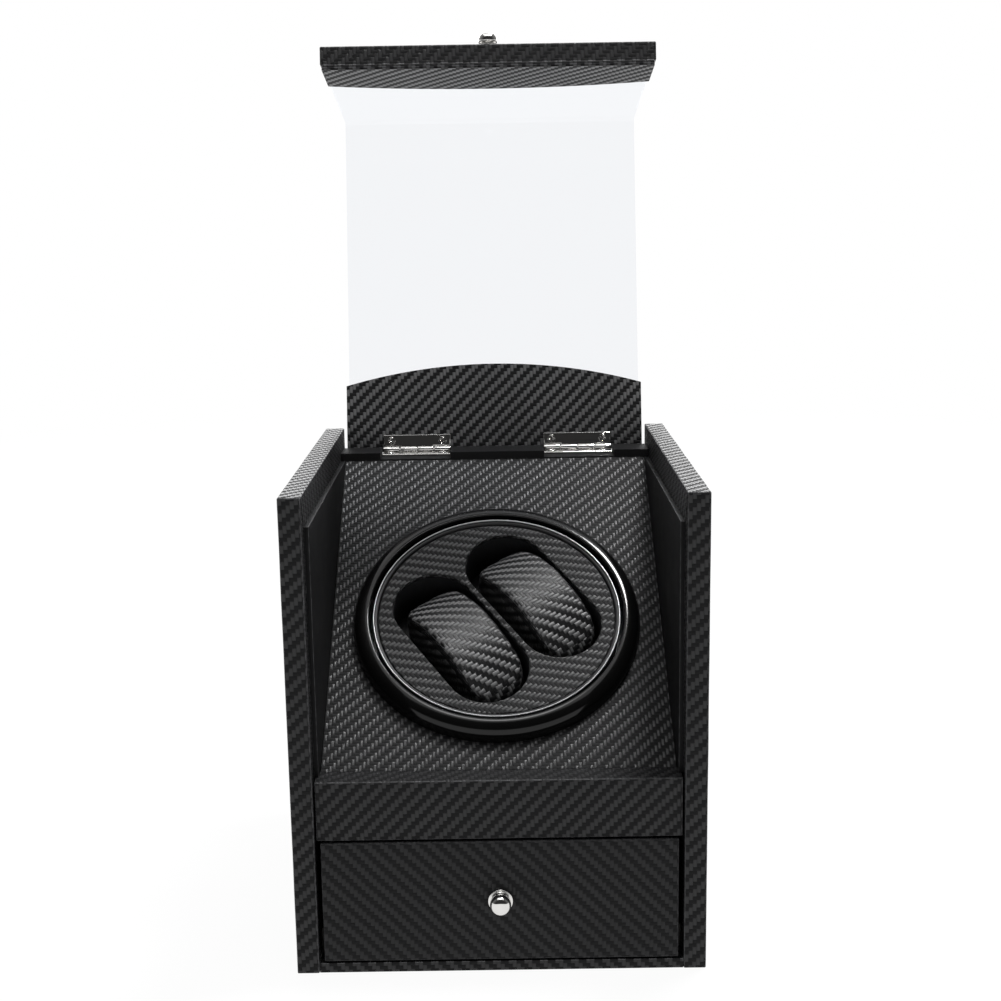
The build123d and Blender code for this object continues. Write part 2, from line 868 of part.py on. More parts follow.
flat_screws("hinge_screws_lower", box_screws_at, 6.5)
flat_screws("hinge_screws_upper", flipped, lid_screw_length)

# ---------------------------------------------------------------- knobs

knob_flange_radius = 5.6
knob_neck_radius = 3.2
knob_cap_radius = 4.6
knob_length = 7.6


def knob(label, place):
    """A turned metal knob: a flange, a waisted neck and a flat cap."""
    with BuildPart() as turned_knob:
        with BuildSketch(Plane(place.location * Rot(90, 0, 0))):
            with BuildLine():
                base = Polyline((0, 0), (knob_flange_radius, 0), (knob_flange_radius, 1.2))
                foot = Line(base @ 1, (knob_neck_radius + 1.0, 1.6))
                waist = ThreePointArc(
                    foot @ 1,
                    (knob_neck_radius, 3.0),
                    (knob_cap_radius, 4.6),
                )
                Polyline(waist @ 1, (knob_cap_radius, knob_length), (0, knob_length), (0, 0))
            make_face()
        revolve(axis=Axis(place.origin, place.z_dir))
        fillet(turned_knob.edges().group_by(Axis(place.origin, place.z_dir))[-1], radius=0.6)
        with BuildSketch(place):
            Circle(knob_hole_radius)
        extrude(amount=4, mode=Mode.SUBTRACT)
    return save(turned_knob.part, label)


def knob_screw(label, place, grip):
    """The screw that holds a knob from behind a board of the given thickness."""
    with BuildPart() as screw:
        with BuildSketch(place.offset(-grip - 1.6)):
            Circle(3.2)
        extrude(amount=1.6)
        with BuildSketch(place.offset(-grip)):
            Circle(knob_hole_radius)
        extrude(amount=grip + 3.5)
        with BuildSketch(place.offset(-grip - 1.6)):
            Rectangle(4.4, 0.8)
        extrude(amount=0.7, mode=Mode.SUBTRACT)
    return save(screw.part, label)


# The lid's knob stands on a stud in the board, so nothing shows on the inside.
lid_knob_place = knob_place[0].offset(lid_front_high)
knob("lid_knob", lid_knob_place)
with BuildPart() as lid_knob_screw:
    with BuildSketch(lid_knob_place.offset(0.2 - lid_front_thickness)):
        Circle(knob_hole_radius)
    extrude(amount=lid_front_thickness - 0.2 + 3.5)
save(lid_knob_screw.part, "lid_knob_screw")

# ---------------------------------------------------------------- drawer

drawer_front_face = front + drawer_setback
drawer_front_back = drawer_front_face + drawer_front_thickness
drawer_back = drawer_front_face + drawer_length
drawer_half = side_inner - 2.9
drawer_middle = (drawer_front_bottom + drawer_front_top) / 2

with BuildPart() as drawer_front:
    with Locations((0, (drawer_front_face + drawer_front_back) / 2, drawer_middle)):
        Box(drawer_front_width, drawer_front_thickness, drawer_front_top - drawer_front_bottom)
    fillet(drawer_front.edges(), radius=wrap_radius)
    with Locations(Plane(origin=(0, drawer_front_face, drawer_middle), z_dir=(0, -1, 0))):
        Hole(radius=knob_hole_radius)
save(drawer_front.part, "drawer_front")

board(
    "drawer_bottom",
    (-drawer_half, drawer_front_back, drawer_front_bottom),
    (drawer_half, drawer_back, drawer_front_bottom + drawer_floor),
)
for name, side in (("left", -1), ("right", 1)):
    inner = side * (drawer_half - drawer_wall)
    outer = side * drawer_half
    board(
        f"drawer_side_{name}",
        (min(inner, outer), drawer_front_back, drawer_front_bottom + drawer_floor),
        (max(inner, outer), drawer_back, drawer_side_top),
    )
board(
    "drawer_back",
    (-drawer_half + drawer_wall, drawer_back - drawer_wall, drawer_front_bottom + drawer_floor),
    (drawer_half - drawer_wall, drawer_back, drawer_side_top),
)
board(
    "drawer_lining",
    (-drawer_half + drawer_wall, drawer_front_back, drawer_front_bottom + drawer_floor),
    (
        drawer_half - drawer_wall,
        drawer_back - drawer_wall,
        drawer_front_bottom + drawer_floor + felt_thickness,
    ),
)
drawer_knob_place = Plane(
    origin=(0, drawer_front_face, drawer_middle), x_dir=(1, 0, 0), z_dir=(0, -1, 0)
)
knob("drawer_knob", drawer_knob_place)
knob_screw("drawer_knob_screw", drawer_knob_place, drawer_front_thickness)

# Guides on the side panels keep the drawer straight, and a block behind it stops it flush.
with BuildPart() as drawer_runners:
    for side in (-1, 1):
        with Locations((side * (side_inner - 1.25), front + 92, bottom_thickness + 5)):
            Box(2.5, 160, 10)
save(drawer_runners.part, "drawer_runners")

board(
    "drawer_stop",
    (-12, drawer_back + 0.2, bottom_thickness),
    (12, back_inner, bottom_thickness + 14),
)

# ---------------------------------------------------------------- back fittings

jack_plane = Plane(origin=(jack_position[0], back, jack_position[1]), x_dir=(-1, 0, 0), z_dir=(0, 1, 0))
with BuildPart() as dc_jack:
    with BuildSketch(Plane(jack_plane.location * Rot(90, 0, 0))):
        with BuildLine():
            Polyline(
                (0, -12),
                (jack_bore_radius, -12),
                (jack_bore_radius, 0),
                (5.6, 0),
                (5.6, 1.6),
                (2.9, 1.6),
                (2.9, -8.5),
                (1.0, -8.5),
                (1.0, 0.5),
                (0, 0.5),
                close=True,
            )
        make_face()
    revolve(axis=Axis(jack_plane.origin, jack_plane.z_dir))
save(dc_jack.part, "dc_jack")

switch_plane = Plane(
    origin=(switch_position[0], back, switch_position[1]), x_dir=(-1, 0, 0), z_dir=(0, 1, 0)
)
switch_shaft_radius = 2.0
with BuildPart() as mode_switch:
    with BuildSketch(switch_plane.offset(-back_thickness - 9)):
        Rectangle(15, 15)
    extrude(amount=9)
    with BuildSketch(switch_plane.offset(-back_thickness)):
        Circle(switch_bore_radius - 0.05)
    extrude(amount=back_thickness)
    with BuildSketch(switch_plane.offset(-8)):
        Circle(switch_shaft_radius + 0.1)
    extrude(amount=8, mode=Mode.SUBTRACT)
save(mode_switch.part, "mode_switch")

knob_start = 0.6
with BuildPart() as mode_knob:
    with BuildSketch(switch_plane.offset(knob_start)):
        Circle(7.5)
    extrude(amount=8, taper=4)
    fillet(mode_knob.faces().sort_by(Axis(switch_plane.origin, switch_plane.z_dir))[-1].edges(), 0.8)
    with BuildSketch(switch_plane.offset(-7.5)):
        Circle(switch_shaft_radius)
    extrude(amount=8.5)
    with BuildSketch(switch_plane.offset(knob_start + 7.3)):
        with Locations((0, 4.2)):
            Rectangle(1.0, 3.6)
    extrude(amount=2, mode=Mode.SUBTRACT)
save(mode_knob.part, "mode_knob")

# Control board on four standoffs inside the back panel.
board_centre = (-38.0, 104.0)
board_size = (44.0, 50.0)
standoff = 5.0
board_plane = Plane(
    origin=(board_centre[0], back_inner, board_centre[1]), x_dir=(-1, 0, 0), z_dir=(0, -1, 0)
)
with BuildPart() as board_standoffs:
    with BuildSketch(board_plane):
        with GridLocations(board_size[0] - 8, board_size[1] - 8, 2, 2):
            Circle(2.2)
    extrude(amount=standoff)
save(board_standoffs.part, "board_standoffs")

with BuildPart() as control_board:
    with BuildSketch(board_plane.offset(standoff)):
        RectangleRounded(*board_size, 2)
    extrude(amount=1.6)
    with BuildSketch(board_plane.offset(standoff + 1.6)):
        with Locations((0, 4)):
            Rectangle(12, 9)
        with Locations((12, -14)):
            Circle(4)
        with Locations((-12, -14)):
            Rectangle(10, 7)
    extrude(amount=3.5)
save(control_board.part, "control_board")
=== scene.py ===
import json
import math

import bmesh
import bpy
from mathutils import Matrix, Vector, noise
from mathutils.bvhtree import BVHTree


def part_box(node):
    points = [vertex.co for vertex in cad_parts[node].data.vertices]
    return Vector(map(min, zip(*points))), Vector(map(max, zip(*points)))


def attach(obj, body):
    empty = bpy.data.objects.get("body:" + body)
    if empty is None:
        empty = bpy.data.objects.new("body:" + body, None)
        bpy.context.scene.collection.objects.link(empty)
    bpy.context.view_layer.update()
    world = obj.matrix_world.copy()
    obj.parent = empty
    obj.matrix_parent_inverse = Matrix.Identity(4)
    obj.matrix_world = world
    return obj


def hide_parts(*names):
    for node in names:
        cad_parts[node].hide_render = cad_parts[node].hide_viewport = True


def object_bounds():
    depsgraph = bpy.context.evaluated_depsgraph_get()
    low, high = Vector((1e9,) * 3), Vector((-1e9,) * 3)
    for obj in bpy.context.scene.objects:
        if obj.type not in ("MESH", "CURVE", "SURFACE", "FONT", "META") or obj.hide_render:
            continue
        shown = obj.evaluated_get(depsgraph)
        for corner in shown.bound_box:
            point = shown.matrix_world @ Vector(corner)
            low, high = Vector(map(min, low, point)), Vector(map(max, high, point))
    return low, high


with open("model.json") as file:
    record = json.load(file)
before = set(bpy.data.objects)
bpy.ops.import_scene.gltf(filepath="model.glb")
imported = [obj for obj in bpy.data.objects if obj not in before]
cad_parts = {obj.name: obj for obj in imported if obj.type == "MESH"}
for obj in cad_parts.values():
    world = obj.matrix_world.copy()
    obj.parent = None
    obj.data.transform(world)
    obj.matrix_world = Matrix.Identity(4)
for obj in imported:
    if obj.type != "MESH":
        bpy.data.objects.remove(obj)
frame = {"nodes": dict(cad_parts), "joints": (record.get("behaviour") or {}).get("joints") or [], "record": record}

# The looks of a watch winder box: leather-covered boards, a clear lid, a turntable with two padded
# watch pillows, and a drawer. Metres, in the row frame: +Z up, front towards -Y.

cad_low, cad_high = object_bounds()
scene = bpy.context.scene
MM = 0.001

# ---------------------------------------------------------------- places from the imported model


def axes_matrix(origin, x, y):
    """A frame from its origin and its first two axes."""
    made = Matrix((x, y, x.cross(y))).transposed().to_4x4()
    made.translation = origin
    return made


joints = {j["name"]: j for j in frame["joints"]}
spin = joints["turntable_spin"]
hinge = joints["lid_hinge"]
RIGHT = Vector((1, 0, 0))
DECK_NORMAL = Vector(spin["axis"]).normalized()
DECK = axes_matrix(Vector(spin["pos_m"]), RIGHT, DECK_NORMAL.cross(RIGHT))
lid_open = math.radians(hinge["range_deg"][1])
LID = axes_matrix(
    Vector(hinge["pos_m"]), -RIGHT, Vector((0, -math.cos(lid_open), math.sin(lid_open)))
)
ROW = Matrix.Identity(4)

SLOT_DIRECTION = math.radians(35.4)      # from the turntable's middle to a slot's, in the deck
SLOT_TURN = SLOT_DIRECTION - math.pi / 2
TURNTABLE = DECK @ Matrix.Rotation(SLOT_TURN, 4, "Z")   # x along the slots

# ---------------------------------------------------------------- camera

CAMERA_AT = Vector((0.00261, -0.68619, 0.32792))
CAMERA_PITCH, CAMERA_YAW, CAMERA_ROLL = (math.radians(a) for a in (11.247, -0.177, 0.920))
CAMERA_LENS = 54.39
CAMERA_SHIFT = (0.0047, -0.0093)

ahead = Vector((
    math.sin(CAMERA_YAW) * math.cos(CAMERA_PITCH),
    math.cos(CAMERA_YAW) * math.cos(CAMERA_PITCH),
    -math.sin(CAMERA_PITCH),
))
level = Vector((math.cos(CAMERA_YAW), -math.sin(CAMERA_YAW), 0))
down = ahead.cross(level)
camera_right = level * math.cos(CAMERA_ROLL) + down * math.sin(CAMERA_ROLL)
camera_up = level * math.sin(CAMERA_ROLL) - down * math.cos(CAMERA_ROLL)
camera = bpy.data.objects.new("camera", bpy.data.cameras.new("camera"))
camera.matrix_world = axes_matrix(CAMERA_AT, camera_right, camera_up)
camera.data.sensor_width = 36
camera.data.lens = CAMERA_LENS
camera.data.shift_x, camera.data.shift_y = CAMERA_SHIFT
camera.data.clip_start = 0.01
scene.collection.objects.link(camera)
scene.camera = camera

# ---------------------------------------------------------------- shader arithmetic


class Value:
    """A number that varies over a surface. Arithmetic on it adds Math nodes."""

    def __init__(self, tree, socket):
        self.tree, self.socket = tree, socket

    def math(self, operation, *others):
        node = self.tree.nodes.new("ShaderNodeMath")
        node.operation = operation
        for place, item in zip(node.inputs, (self, *others)):
            feed(self.tree, item, place)
        return Value(self.tree, node.outputs[0])

    def __add__(self, other):
        return self.math("ADD", other)

    def __sub__(self, other):
        return self.math("SUBTRACT", other)

    def __mul__(self, other):
        return self.math("MULTIPLY", other)

    def __truediv__(self, other):
        return self.math("DIVIDE", other)

    def __pow__(self, other):
        return self.math("POWER", other)

    def arch(self):
        """0 at 0 and 1, and 1 half way."""
        return (self * math.pi).math("SINE")

    def clamped(self):
        return self.math("MAXIMUM", 0.0).math("MINIMUM", 1.0)


def feed(tree, item, place):
    """Puts a value, a socket or a plain number into an input."""
    if isinstance(item, Value):
        tree.links.new(item.socket, place)
    elif isinstance(item, bpy.types.NodeSocket):
        tree.links.new(item, place)
    else:
        place.default_value = item


def add_node(tree, kind, output=0, settings=None, **inputs):
    """Adds a node and returns one of its outputs. Input names have _ for a space."""
    node = tree.nodes.new(kind)
    for name, value in (settings or {}).items():
        setattr(node, name, value)
    for name, value in inputs.items():
        feed(tree, value, node.inputs[name.replace("_", " ")])
    return node.outputs[output]


def pick(test, yes, no):
    """yes where test is 1, and no where it is 0."""
    node = test.tree.nodes.new("ShaderNodeMix")
    feed(test.tree, test, node.inputs[0])
    feed(test.tree, no, node.inputs[2])
    feed(test.tree, yes, node.inputs[3])
    return Value(test.tree, node.outputs[0])


def colour_between(factor, low, high):
    """A colour from low to high by a value from 0 to 1."""
    node = factor.tree.nodes.new("ShaderNodeMix")
    node.data_type = "RGBA"
    feed(factor.tree, factor, node.inputs[0])
    node.inputs[6].default_value = (*low, 1)
    node.inputs[7].default_value = (*high, 1)
    return node.outputs[2]


def noise_value(tree, scale, detail=2.0, roughness=0.5, vector=None):
    where = vector or add_node(tree, "ShaderNodeTexCoord", "Object")
    return Value(tree, add_node(
        tree, "ShaderNodeTexNoise", "Fac", Vector=where, Scale=scale, Detail=detail,
        Roughness=roughness,
    ))


def turned_xyz(tree, vector, matrix):
    """The three parts of a vector along a frame's axes."""
    turned = add_node(
        tree, "ShaderNodeMapping", 0, Vector=vector,
        Rotation=matrix.to_3x3().inverted().to_euler("XYZ"),
    )
    parts = tree.nodes.new("ShaderNodeSeparateXYZ")
    tree.links.new(turned, parts.inputs[0])
    return [Value(tree, out) for out in parts.outputs]


def bumped(tree, height, distance, strength=1.0, normal=None):
    node = tree.nodes.new("ShaderNodeBump")
    node.inputs["Strength"].default_value = strength
    node.inputs["Distance"].default_value = distance
    feed(tree, height, node.inputs["Height"])
    if normal is not None:
        tree.links.new(normal, node.inputs["Normal"])
    return node.outputs[0]


def new_material(name):
    """A material with one Principled shader; its settings are sockets of that shader."""
    made = bpy.data.materials.new(name)
    made.use_nodes = True
    return made, made.node_tree, made.node_tree.nodes["Principled BSDF"]


def set_shader(tree, shader, **values):
    for name, value in values.items():
        feed(tree, value, shader.inputs[name.replace("_", " ")])


# ---------------------------------------------------------------- materials

TWILL_CELL = 1.67 * MM        # width of one tow of the embossed weave
DECK_CELL = 1.57 * MM         # the same on the tilted panel and the turntable
UPHILL, DOWNHILL = -1, 1      # the weave's ridges rise to the right, or fall
CELLS_AWAY = 4000             # keeps cell numbers positive
SUNK = 0.42                   # height of the level tows, as a share of the upright ones
WAVER = 0.35                  # how far the rows of tows waver, in cells
FIBRES, FIBRE_HEIGHT = 9.0, 0.06          # fibres in one tow, and their height


def twill(tree, matrix, slant, cell):
    """A 2 and 2 twill along the axes of a frame: its height, and where the upright tows show."""
    coords = tree.nodes.new("ShaderNodeTexCoord")
    x, y, z = turned_xyz(tree, coords.outputs["Object"], matrix)
    across_x, across_y, across_z = (
        part.math("ABSOLUTE") for part in turned_xyz(tree, coords.outputs["Normal"], matrix)
    )
    on_side = across_x.math("GREATER_THAN", across_y.math("MAXIMUM", across_z))
    on_top = across_z.math("GREATER_THAN", across_x.math("MAXIMUM", across_y))
    waver = noise_value(tree, 60, 2.0) * WAVER
    u = pick(on_side, y, x) / cell + CELLS_AWAY + waver
    v = pick(on_top, y, z) / cell + CELLS_AWAY + waver
    column, row = u.math("FLOOR"), v.math("FLOOR")
    u_in, v_in = u - column, v - row
    step = (column + row * slant).math("FLOORED_MODULO", 4.0)
    upright = step.math("LESS_THAN", 1.5)
    along_upright = (step + v_in if slant > 0 else step + 1 - v_in) * 0.5
    along_level = (step - 2 + u_in) * 0.5
    across = pick(upright, u_in, v_in)
    along = pick(upright, along_upright, along_level)
    fibres = (across * FIBRES).arch().math("ABSOLUTE") * FIBRE_HEIGHT
    round_tow = across.arch() ** 0.7 * (along.arch().math("MAXIMUM", 0.0) ** 0.5 * 0.5 + 0.5)
    return round_tow * pick(upright, 1.0, SUNK) + fibres, upright


def edge_value(tree):
    """1 on a piece's rounded edges, where its mesh says so."""
    return Value(tree, add_node(
        tree, "ShaderNodeAttribute", "Fac", {"attribute_name": "edge"}
    ))


# Painted light: the upright tows are painted lit and the level tows painted in shade, standing in for how the
# light catches tows that run different ways.
SHADED_LEVEL_TOW, LIT_UPRIGHT_TOW = (0.0035, 0.0035, 0.0040), (0.030, 0.030, 0.031)
# Colour of the lighter edges: partly wear, partly a painted highlight along the rounded edges.
LEATHER_WORN_AND_LIT = (0.12, 0.12, 0.125)


def with_wear_and_highlight(tree, wear_and_highlight, colour):
    """A leather's colour, lighter on its edges: partly wear, partly a painted highlight."""
    node = tree.nodes.new("ShaderNodeMix")
    node.data_type = "RGBA"
    feed(tree, wear_and_highlight.clamped(), node.inputs[0])
    feed(tree, colour, node.inputs[6])
    node.inputs[7].default_value = (*LEATHER_WORN_AND_LIT, 1)
    return node.outputs[2]


def twill_leather(
    name, matrix=ROW, slant=UPHILL, cell=TWILL_CELL, depth=0.26 * MM, roughness=0.34,
    light=LIT_UPRIGHT_TOW, edge_wear_and_glint=0.5, tow_glint_dashes=0.0, sunk_roughness=0.62, gloss=0.22,
):
    """Black leather, embossed with a carbon-fibre weave. Its upright tows are painted lighter than its level
    ones and lightest on their crowns, as painted highlight and painted shade; light is the colour of the
    lit tows. Its edges are painted lighter, partly wear and partly a painted highlight, in part only on
    the tows that stand up, which makes dashes of painted glint."""
    made, tree, shader = new_material(name)
    height, upright = twill(tree, matrix, slant, cell)
    grain = noise_value(tree, 2600, 3.0, 0.6)
    mottle = noise_value(tree, 45, 2.0)
    # Lighter edges, partly wear and partly a painted highlight; on the upright tows alone they make dashes of
    # painted glint.
    wear_and_highlight = edge_value(tree) * (
        (noise_value(tree, 420, 2.0) * 1.4 - 0.35).clamped() * edge_wear_and_glint + upright * tow_glint_dashes
    )
    # Painted light: lit upright tows, brightest on their crowns, against painted shade on the level tows.
    painted_tow_light = (upright * (height * 0.5 + 0.5) * (mottle * 0.5 + 0.7)).clamped()
    slow = bumped(tree, mottle, 0.4 * MM, 0.5)
    weave = bumped(tree, height + grain * 0.10, depth, 1.0, slow)
    set_shader(
        tree, shader, Base_Color=with_wear_and_highlight(tree, wear_and_highlight, colour_between(painted_tow_light, SHADED_LEVEL_TOW, light)),
        Roughness=pick(upright, grain * 0.10 + roughness - 0.05, grain * 0.10 + sunk_roughness),
        Normal=weave, Specular_IOR_Level=gloss,
    )
    return made


def plain_leather(name, roughness=0.5):
    """Smooth black leather with a fine pebble grain."""
    made, tree, shader = new_material(name)
    coords = add_node(tree, "ShaderNodeTexCoord", "Object")
    pebble = Value(tree, add_node(
        tree, "ShaderNodeTexVoronoi", "Distance", Vector=coords, Scale=1500.0
    ))
    mottle = noise_value(tree, 60, 3.0)
    # Lighter edges, partly wear and partly a painted highlight line.
    wear_and_highlight = edge_value(tree) * (noise_value(tree, 300, 2.0) * 1.5 - 0.3).clamped()
    set_shader(
        tree, shader,
        Base_Color=with_wear_and_highlight(
            tree, wear_and_highlight, colour_between(mottle, (0.003, 0.003, 0.0035), (0.0065, 0.0065, 0.007))
        ),
        Roughness=mottle * 0.14 + roughness,
        Normal=bumped(tree, pebble * 0.4 + mottle, 0.12 * MM, 0.6), Specular_IOR_Level=0.15,
    )
    return made


def felt(name):
    made, tree, shader = new_material(name)
    fibres = noise_value(tree, 3200, 6.0, 0.75)
    mottle = noise_value(tree, 90, 3.0)
    set_shader(
        tree, shader,
        Base_Color=colour_between(
            fibres * 0.6 + mottle * 0.4, (0.012, 0.012, 0.014), (0.05, 0.05, 0.054)
        ),
        Roughness=fibres * 0.1 + 0.85, Normal=bumped(tree, fibres, 0.3 * MM),
        Sheen_Weight=0.4, Sheen_Roughness=0.5,
    )
    return made


def painted_board(name):
    """Fibreboard under thin black paint."""
    made, tree, shader = new_material(name)
    x, y, z = turned_xyz(tree, add_node(tree, "ShaderNodeTexCoord", "Object"), ROW)
    stretched = add_node(tree, "ShaderNodeCombineXYZ", 0, X=x * 0.15, Y=y, Z=z)
    streaks = noise_value(tree, 700, 5.0, 0.65, stretched)
    specks = noise_value(tree, 2400, 3.0)
    set_shader(
        tree, shader,
        Base_Color=colour_between(
            streaks * 0.6 + specks * 0.4, (0.018, 0.017, 0.016), (0.050, 0.046, 0.042)
        ),
        Roughness=specks * 0.2 + 0.5, Normal=bumped(tree, streaks + specks, 0.12 * MM),
    )
    return made


def moulded(name, low, high, roughness, grain_scale=1800, depth=0.04 * MM):
    """Moulded plastic: a fine texture, slightly uneven gloss and a little dust."""
    made, tree, shader = new_material(name)
    grain = noise_value(tree, grain_scale, 2.0)
    haze = noise_value(tree, 70, 3.0)
    set_shader(
        tree, shader, Base_Color=colour_between(haze * 0.7 + grain * 0.3, low, high),
        Roughness=haze * 0.08 + grain * 0.05 + roughness,
        Normal=bumped(tree, grain, depth, 0.6), Specular_IOR_Level=0.3,
    )
    return made


def metal(name, low, high, roughness, brushed=(1, 1, 1), depth=0.01 * MM):
    """Polished, plated or brushed metal. Its marks run along the axis that brushed makes small."""
    made, tree, shader = new_material(name)
    x, y, z = turned_xyz(tree, add_node(tree, "ShaderNodeTexCoord", "Object"), ROW)
    stretched = add_node(
        tree, "ShaderNodeCombineXYZ", 0, X=x * brushed[0], Y=y * brushed[1], Z=z * brushed[2]
    )
    marks = noise_value(tree, 2500, 4.0, 0.7, stretched)
    haze = noise_value(tree, 160, 3.0)
    set_shader(
        tree, shader, Base_Color=colour_between(haze * 0.6 + marks * 0.4, low, high),
        Metallic=1.0, Roughness=(marks * 0.5 + haze * 0.4) * roughness + roughness * 0.8,
        Normal=bumped(tree, marks, depth, 0.5),
    )
    return made


def acrylic(name):
    """Clear sheet: what is behind it, a little cooler, under a polished surface."""
    made, tree, shader = new_material(name)
    tree.nodes.remove(shader)
    smears = noise_value(tree, 30, 3.0)
    clear = add_node(
        tree, "ShaderNodeBsdfTransparent", 0,
        Color=colour_between(smears, (0.960, 0.967, 0.977), (0.967, 0.973, 0.983)),
    )
    gloss = add_node(
        tree, "ShaderNodeBsdfGlossy", 0, Color=(0.80, 0.82, 0.85, 1), Roughness=smears * 0.04 + 0.01
    )
    mixed = tree.nodes.new("ShaderNodeMixShader")
    feed(tree, smears * 0.010 + 0.012, mixed.inputs[0])
    tree.links.new(clear, mixed.inputs[1])
    tree.links.new(gloss, mixed.inputs[2])
    tree.links.new(mixed.outputs[0], tree.nodes["Material Output"].inputs[0])
    return made


def solder_mask(name):
    made, tree, shader = new_material(name)
    x, y, z = turned_xyz(tree, add_node(tree, "ShaderNodeTexCoord", "Object"), ROW)
    tracks = (x * 260).math("FRACT").math("LESS_THAN", 0.35).math(
        "MULTIPLY", (z * 60).math("FRACT").math("LESS_THAN", 0.7)
    )
    specks = noise_value(tree, 900, 2.0)
    set_shader(
        tree, shader,
        Base_Color=colour_between(
            tracks * 0.7 + specks * 0.3, (0.008, 0.09, 0.03), (0.03, 0.22, 0.09)
        ),
        Roughness=specks * 0.1 + 0.25, Normal=bumped(tree, tracks, 0.05 * MM),
    )
    return made


# Each weave's light is how bright its upright tows are painted: the same leather is painted lighter or darker
# piece by piece, as painted light and painted shade.
weave_upright = twill_leather("leather_weave", edge_wear_and_glint=1.0)
weave_drawer = twill_leather("leather_weave_drawer", slant=DOWNHILL, light=(0.015, 0.015, 0.016))
weave_deck = twill_leather(
    "leather_weave_deck", DECK, cell=DECK_CELL, depth=0.30 * MM, roughness=0.26,
    light=(0.046, 0.046, 0.047),
)
weave_turntable = twill_leather(
    "leather_weave_turntable", TURNTABLE, cell=DECK_CELL, depth=0.32 * MM, roughness=0.24,
    light=(0.070, 0.070, 0.071), edge_wear_and_glint=1.0,
)
weave_pillow = twill_leather(
    "leather_weave_pillow", TURNTABLE, depth=0.40 * MM, roughness=0.34, light=(0.15, 0.15, 0.152),
    sunk_roughness=0.34, gloss=0.5,
)
weave_lid = twill_leather(
    "leather_weave_lid", LID, DOWNHILL, depth=0.40 * MM, light=(0.17, 0.17, 0.172)
)
weave_lid_end = twill_leather(
    "leather_weave_lid_end", LID, DOWNHILL, depth=0.34 * MM, light=(0.045, 0.045, 0.046),
    edge_wear_and_glint=0.3, tow_glint_dashes=0.8,
)
weave_lip = twill_leather("leather_weave_lip", slant=DOWNHILL, edge_wear_and_glint=0.2, tow_glint_dashes=1.0)
weave_lid_lining = twill_leather(
    "leather_weave_lid_lining", LID, UPHILL, depth=0.34 * MM, light=(0.12, 0.12, 0.122)
)
smooth_leather = plain_leather("leather_smooth")
finishes = {
    "carbon_leather": weave_upright,
    "plain_leather": smooth_leather,
    "felt": felt("felt"),
    "board_wood": painted_board("painted_board"),
    "gloss_black": moulded("gloss_black", (0.002,) * 3, (0.004,) * 3, 0.05, 1200, 0.004 * MM),
    "satin_rim": metal("satin_rim", (0.30, 0.30, 0.31), (0.45, 0.45, 0.46), 0.26),
    "black_plastic": moulded("black_plastic", (0.006, 0.006, 0.007), (0.022, 0.022, 0.023), 0.42),
    "steel": metal("zinc_steel", (0.42, 0.42, 0.43), (0.62, 0.62, 0.63), 0.32, (0.1, 1, 1)),
    "brass": metal("brass", (0.60, 0.43, 0.18), (0.78, 0.60, 0.30), 0.28),
    "white_acetal": moulded("white_acetal", (0.70, 0.70, 0.67), (0.84, 0.84, 0.82), 0.4),
    "nickel": metal("nickel", (0.66, 0.65, 0.63), (0.82, 0.81, 0.79), 0.02),
    "clear_acrylic": acrylic("clear_acrylic"),
    "circuit_green": solder_mask("solder_mask"),
}
weaves = {
    "drawer_front": weave_drawer, "tilted_panel": weave_deck,
    "lid_rear_board": weave_lid, "lid_front_board": weave_lid_end,
    "lid_rear_liner": weave_lid, "lid_front_liner": weave_lid_lining,
}
slots = {s["node"]: s["material_slot"] for s in frame["record"]["subparts"]}
for name, node in frame["nodes"].items():
    finish = weaves.get(name, finishes[slots[name]])
    node.data.materials.clear()
    node.data.materials.append(finish)

# ---------------------------------------------------------------- making pieces


def add_piece(name, mesh, material, body, slot, *replaced):
    """Links a mesh as a piece that rides on a body and may stand for CAD nodes."""
    mesh.materials.clear()
    mesh.materials.append(material)
    piece = bpy.data.objects.new(name, mesh)
    scene.collection.objects.link(piece)
    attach(piece, body)
    if replaced:
        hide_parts(*replaced)
    return piece


def stops(low, high, radius, step, corner_steps):
    """Grid lines along one side of a rounded board: close at its corners, even between them."""
    lines = [
        low + radius * (1 - math.cos(math.pi / 2 * i / corner_steps)) for i in range(corner_steps)
    ]
    count = max(1, round((high - low - 2 * radius) / step))
    lines += [low + radius + (high - low - 2 * radius) * i / count for i in range(count + 1)]
    lines += [low + high - line for line in reversed(lines[:corner_steps])]
    return lines


WAVE_SCALE, WAVE_SINK = 45, 0.6           # of the padding under the leather
EDGE_LEAN = 0.97              # a vertex that leans this little lies on a flat side


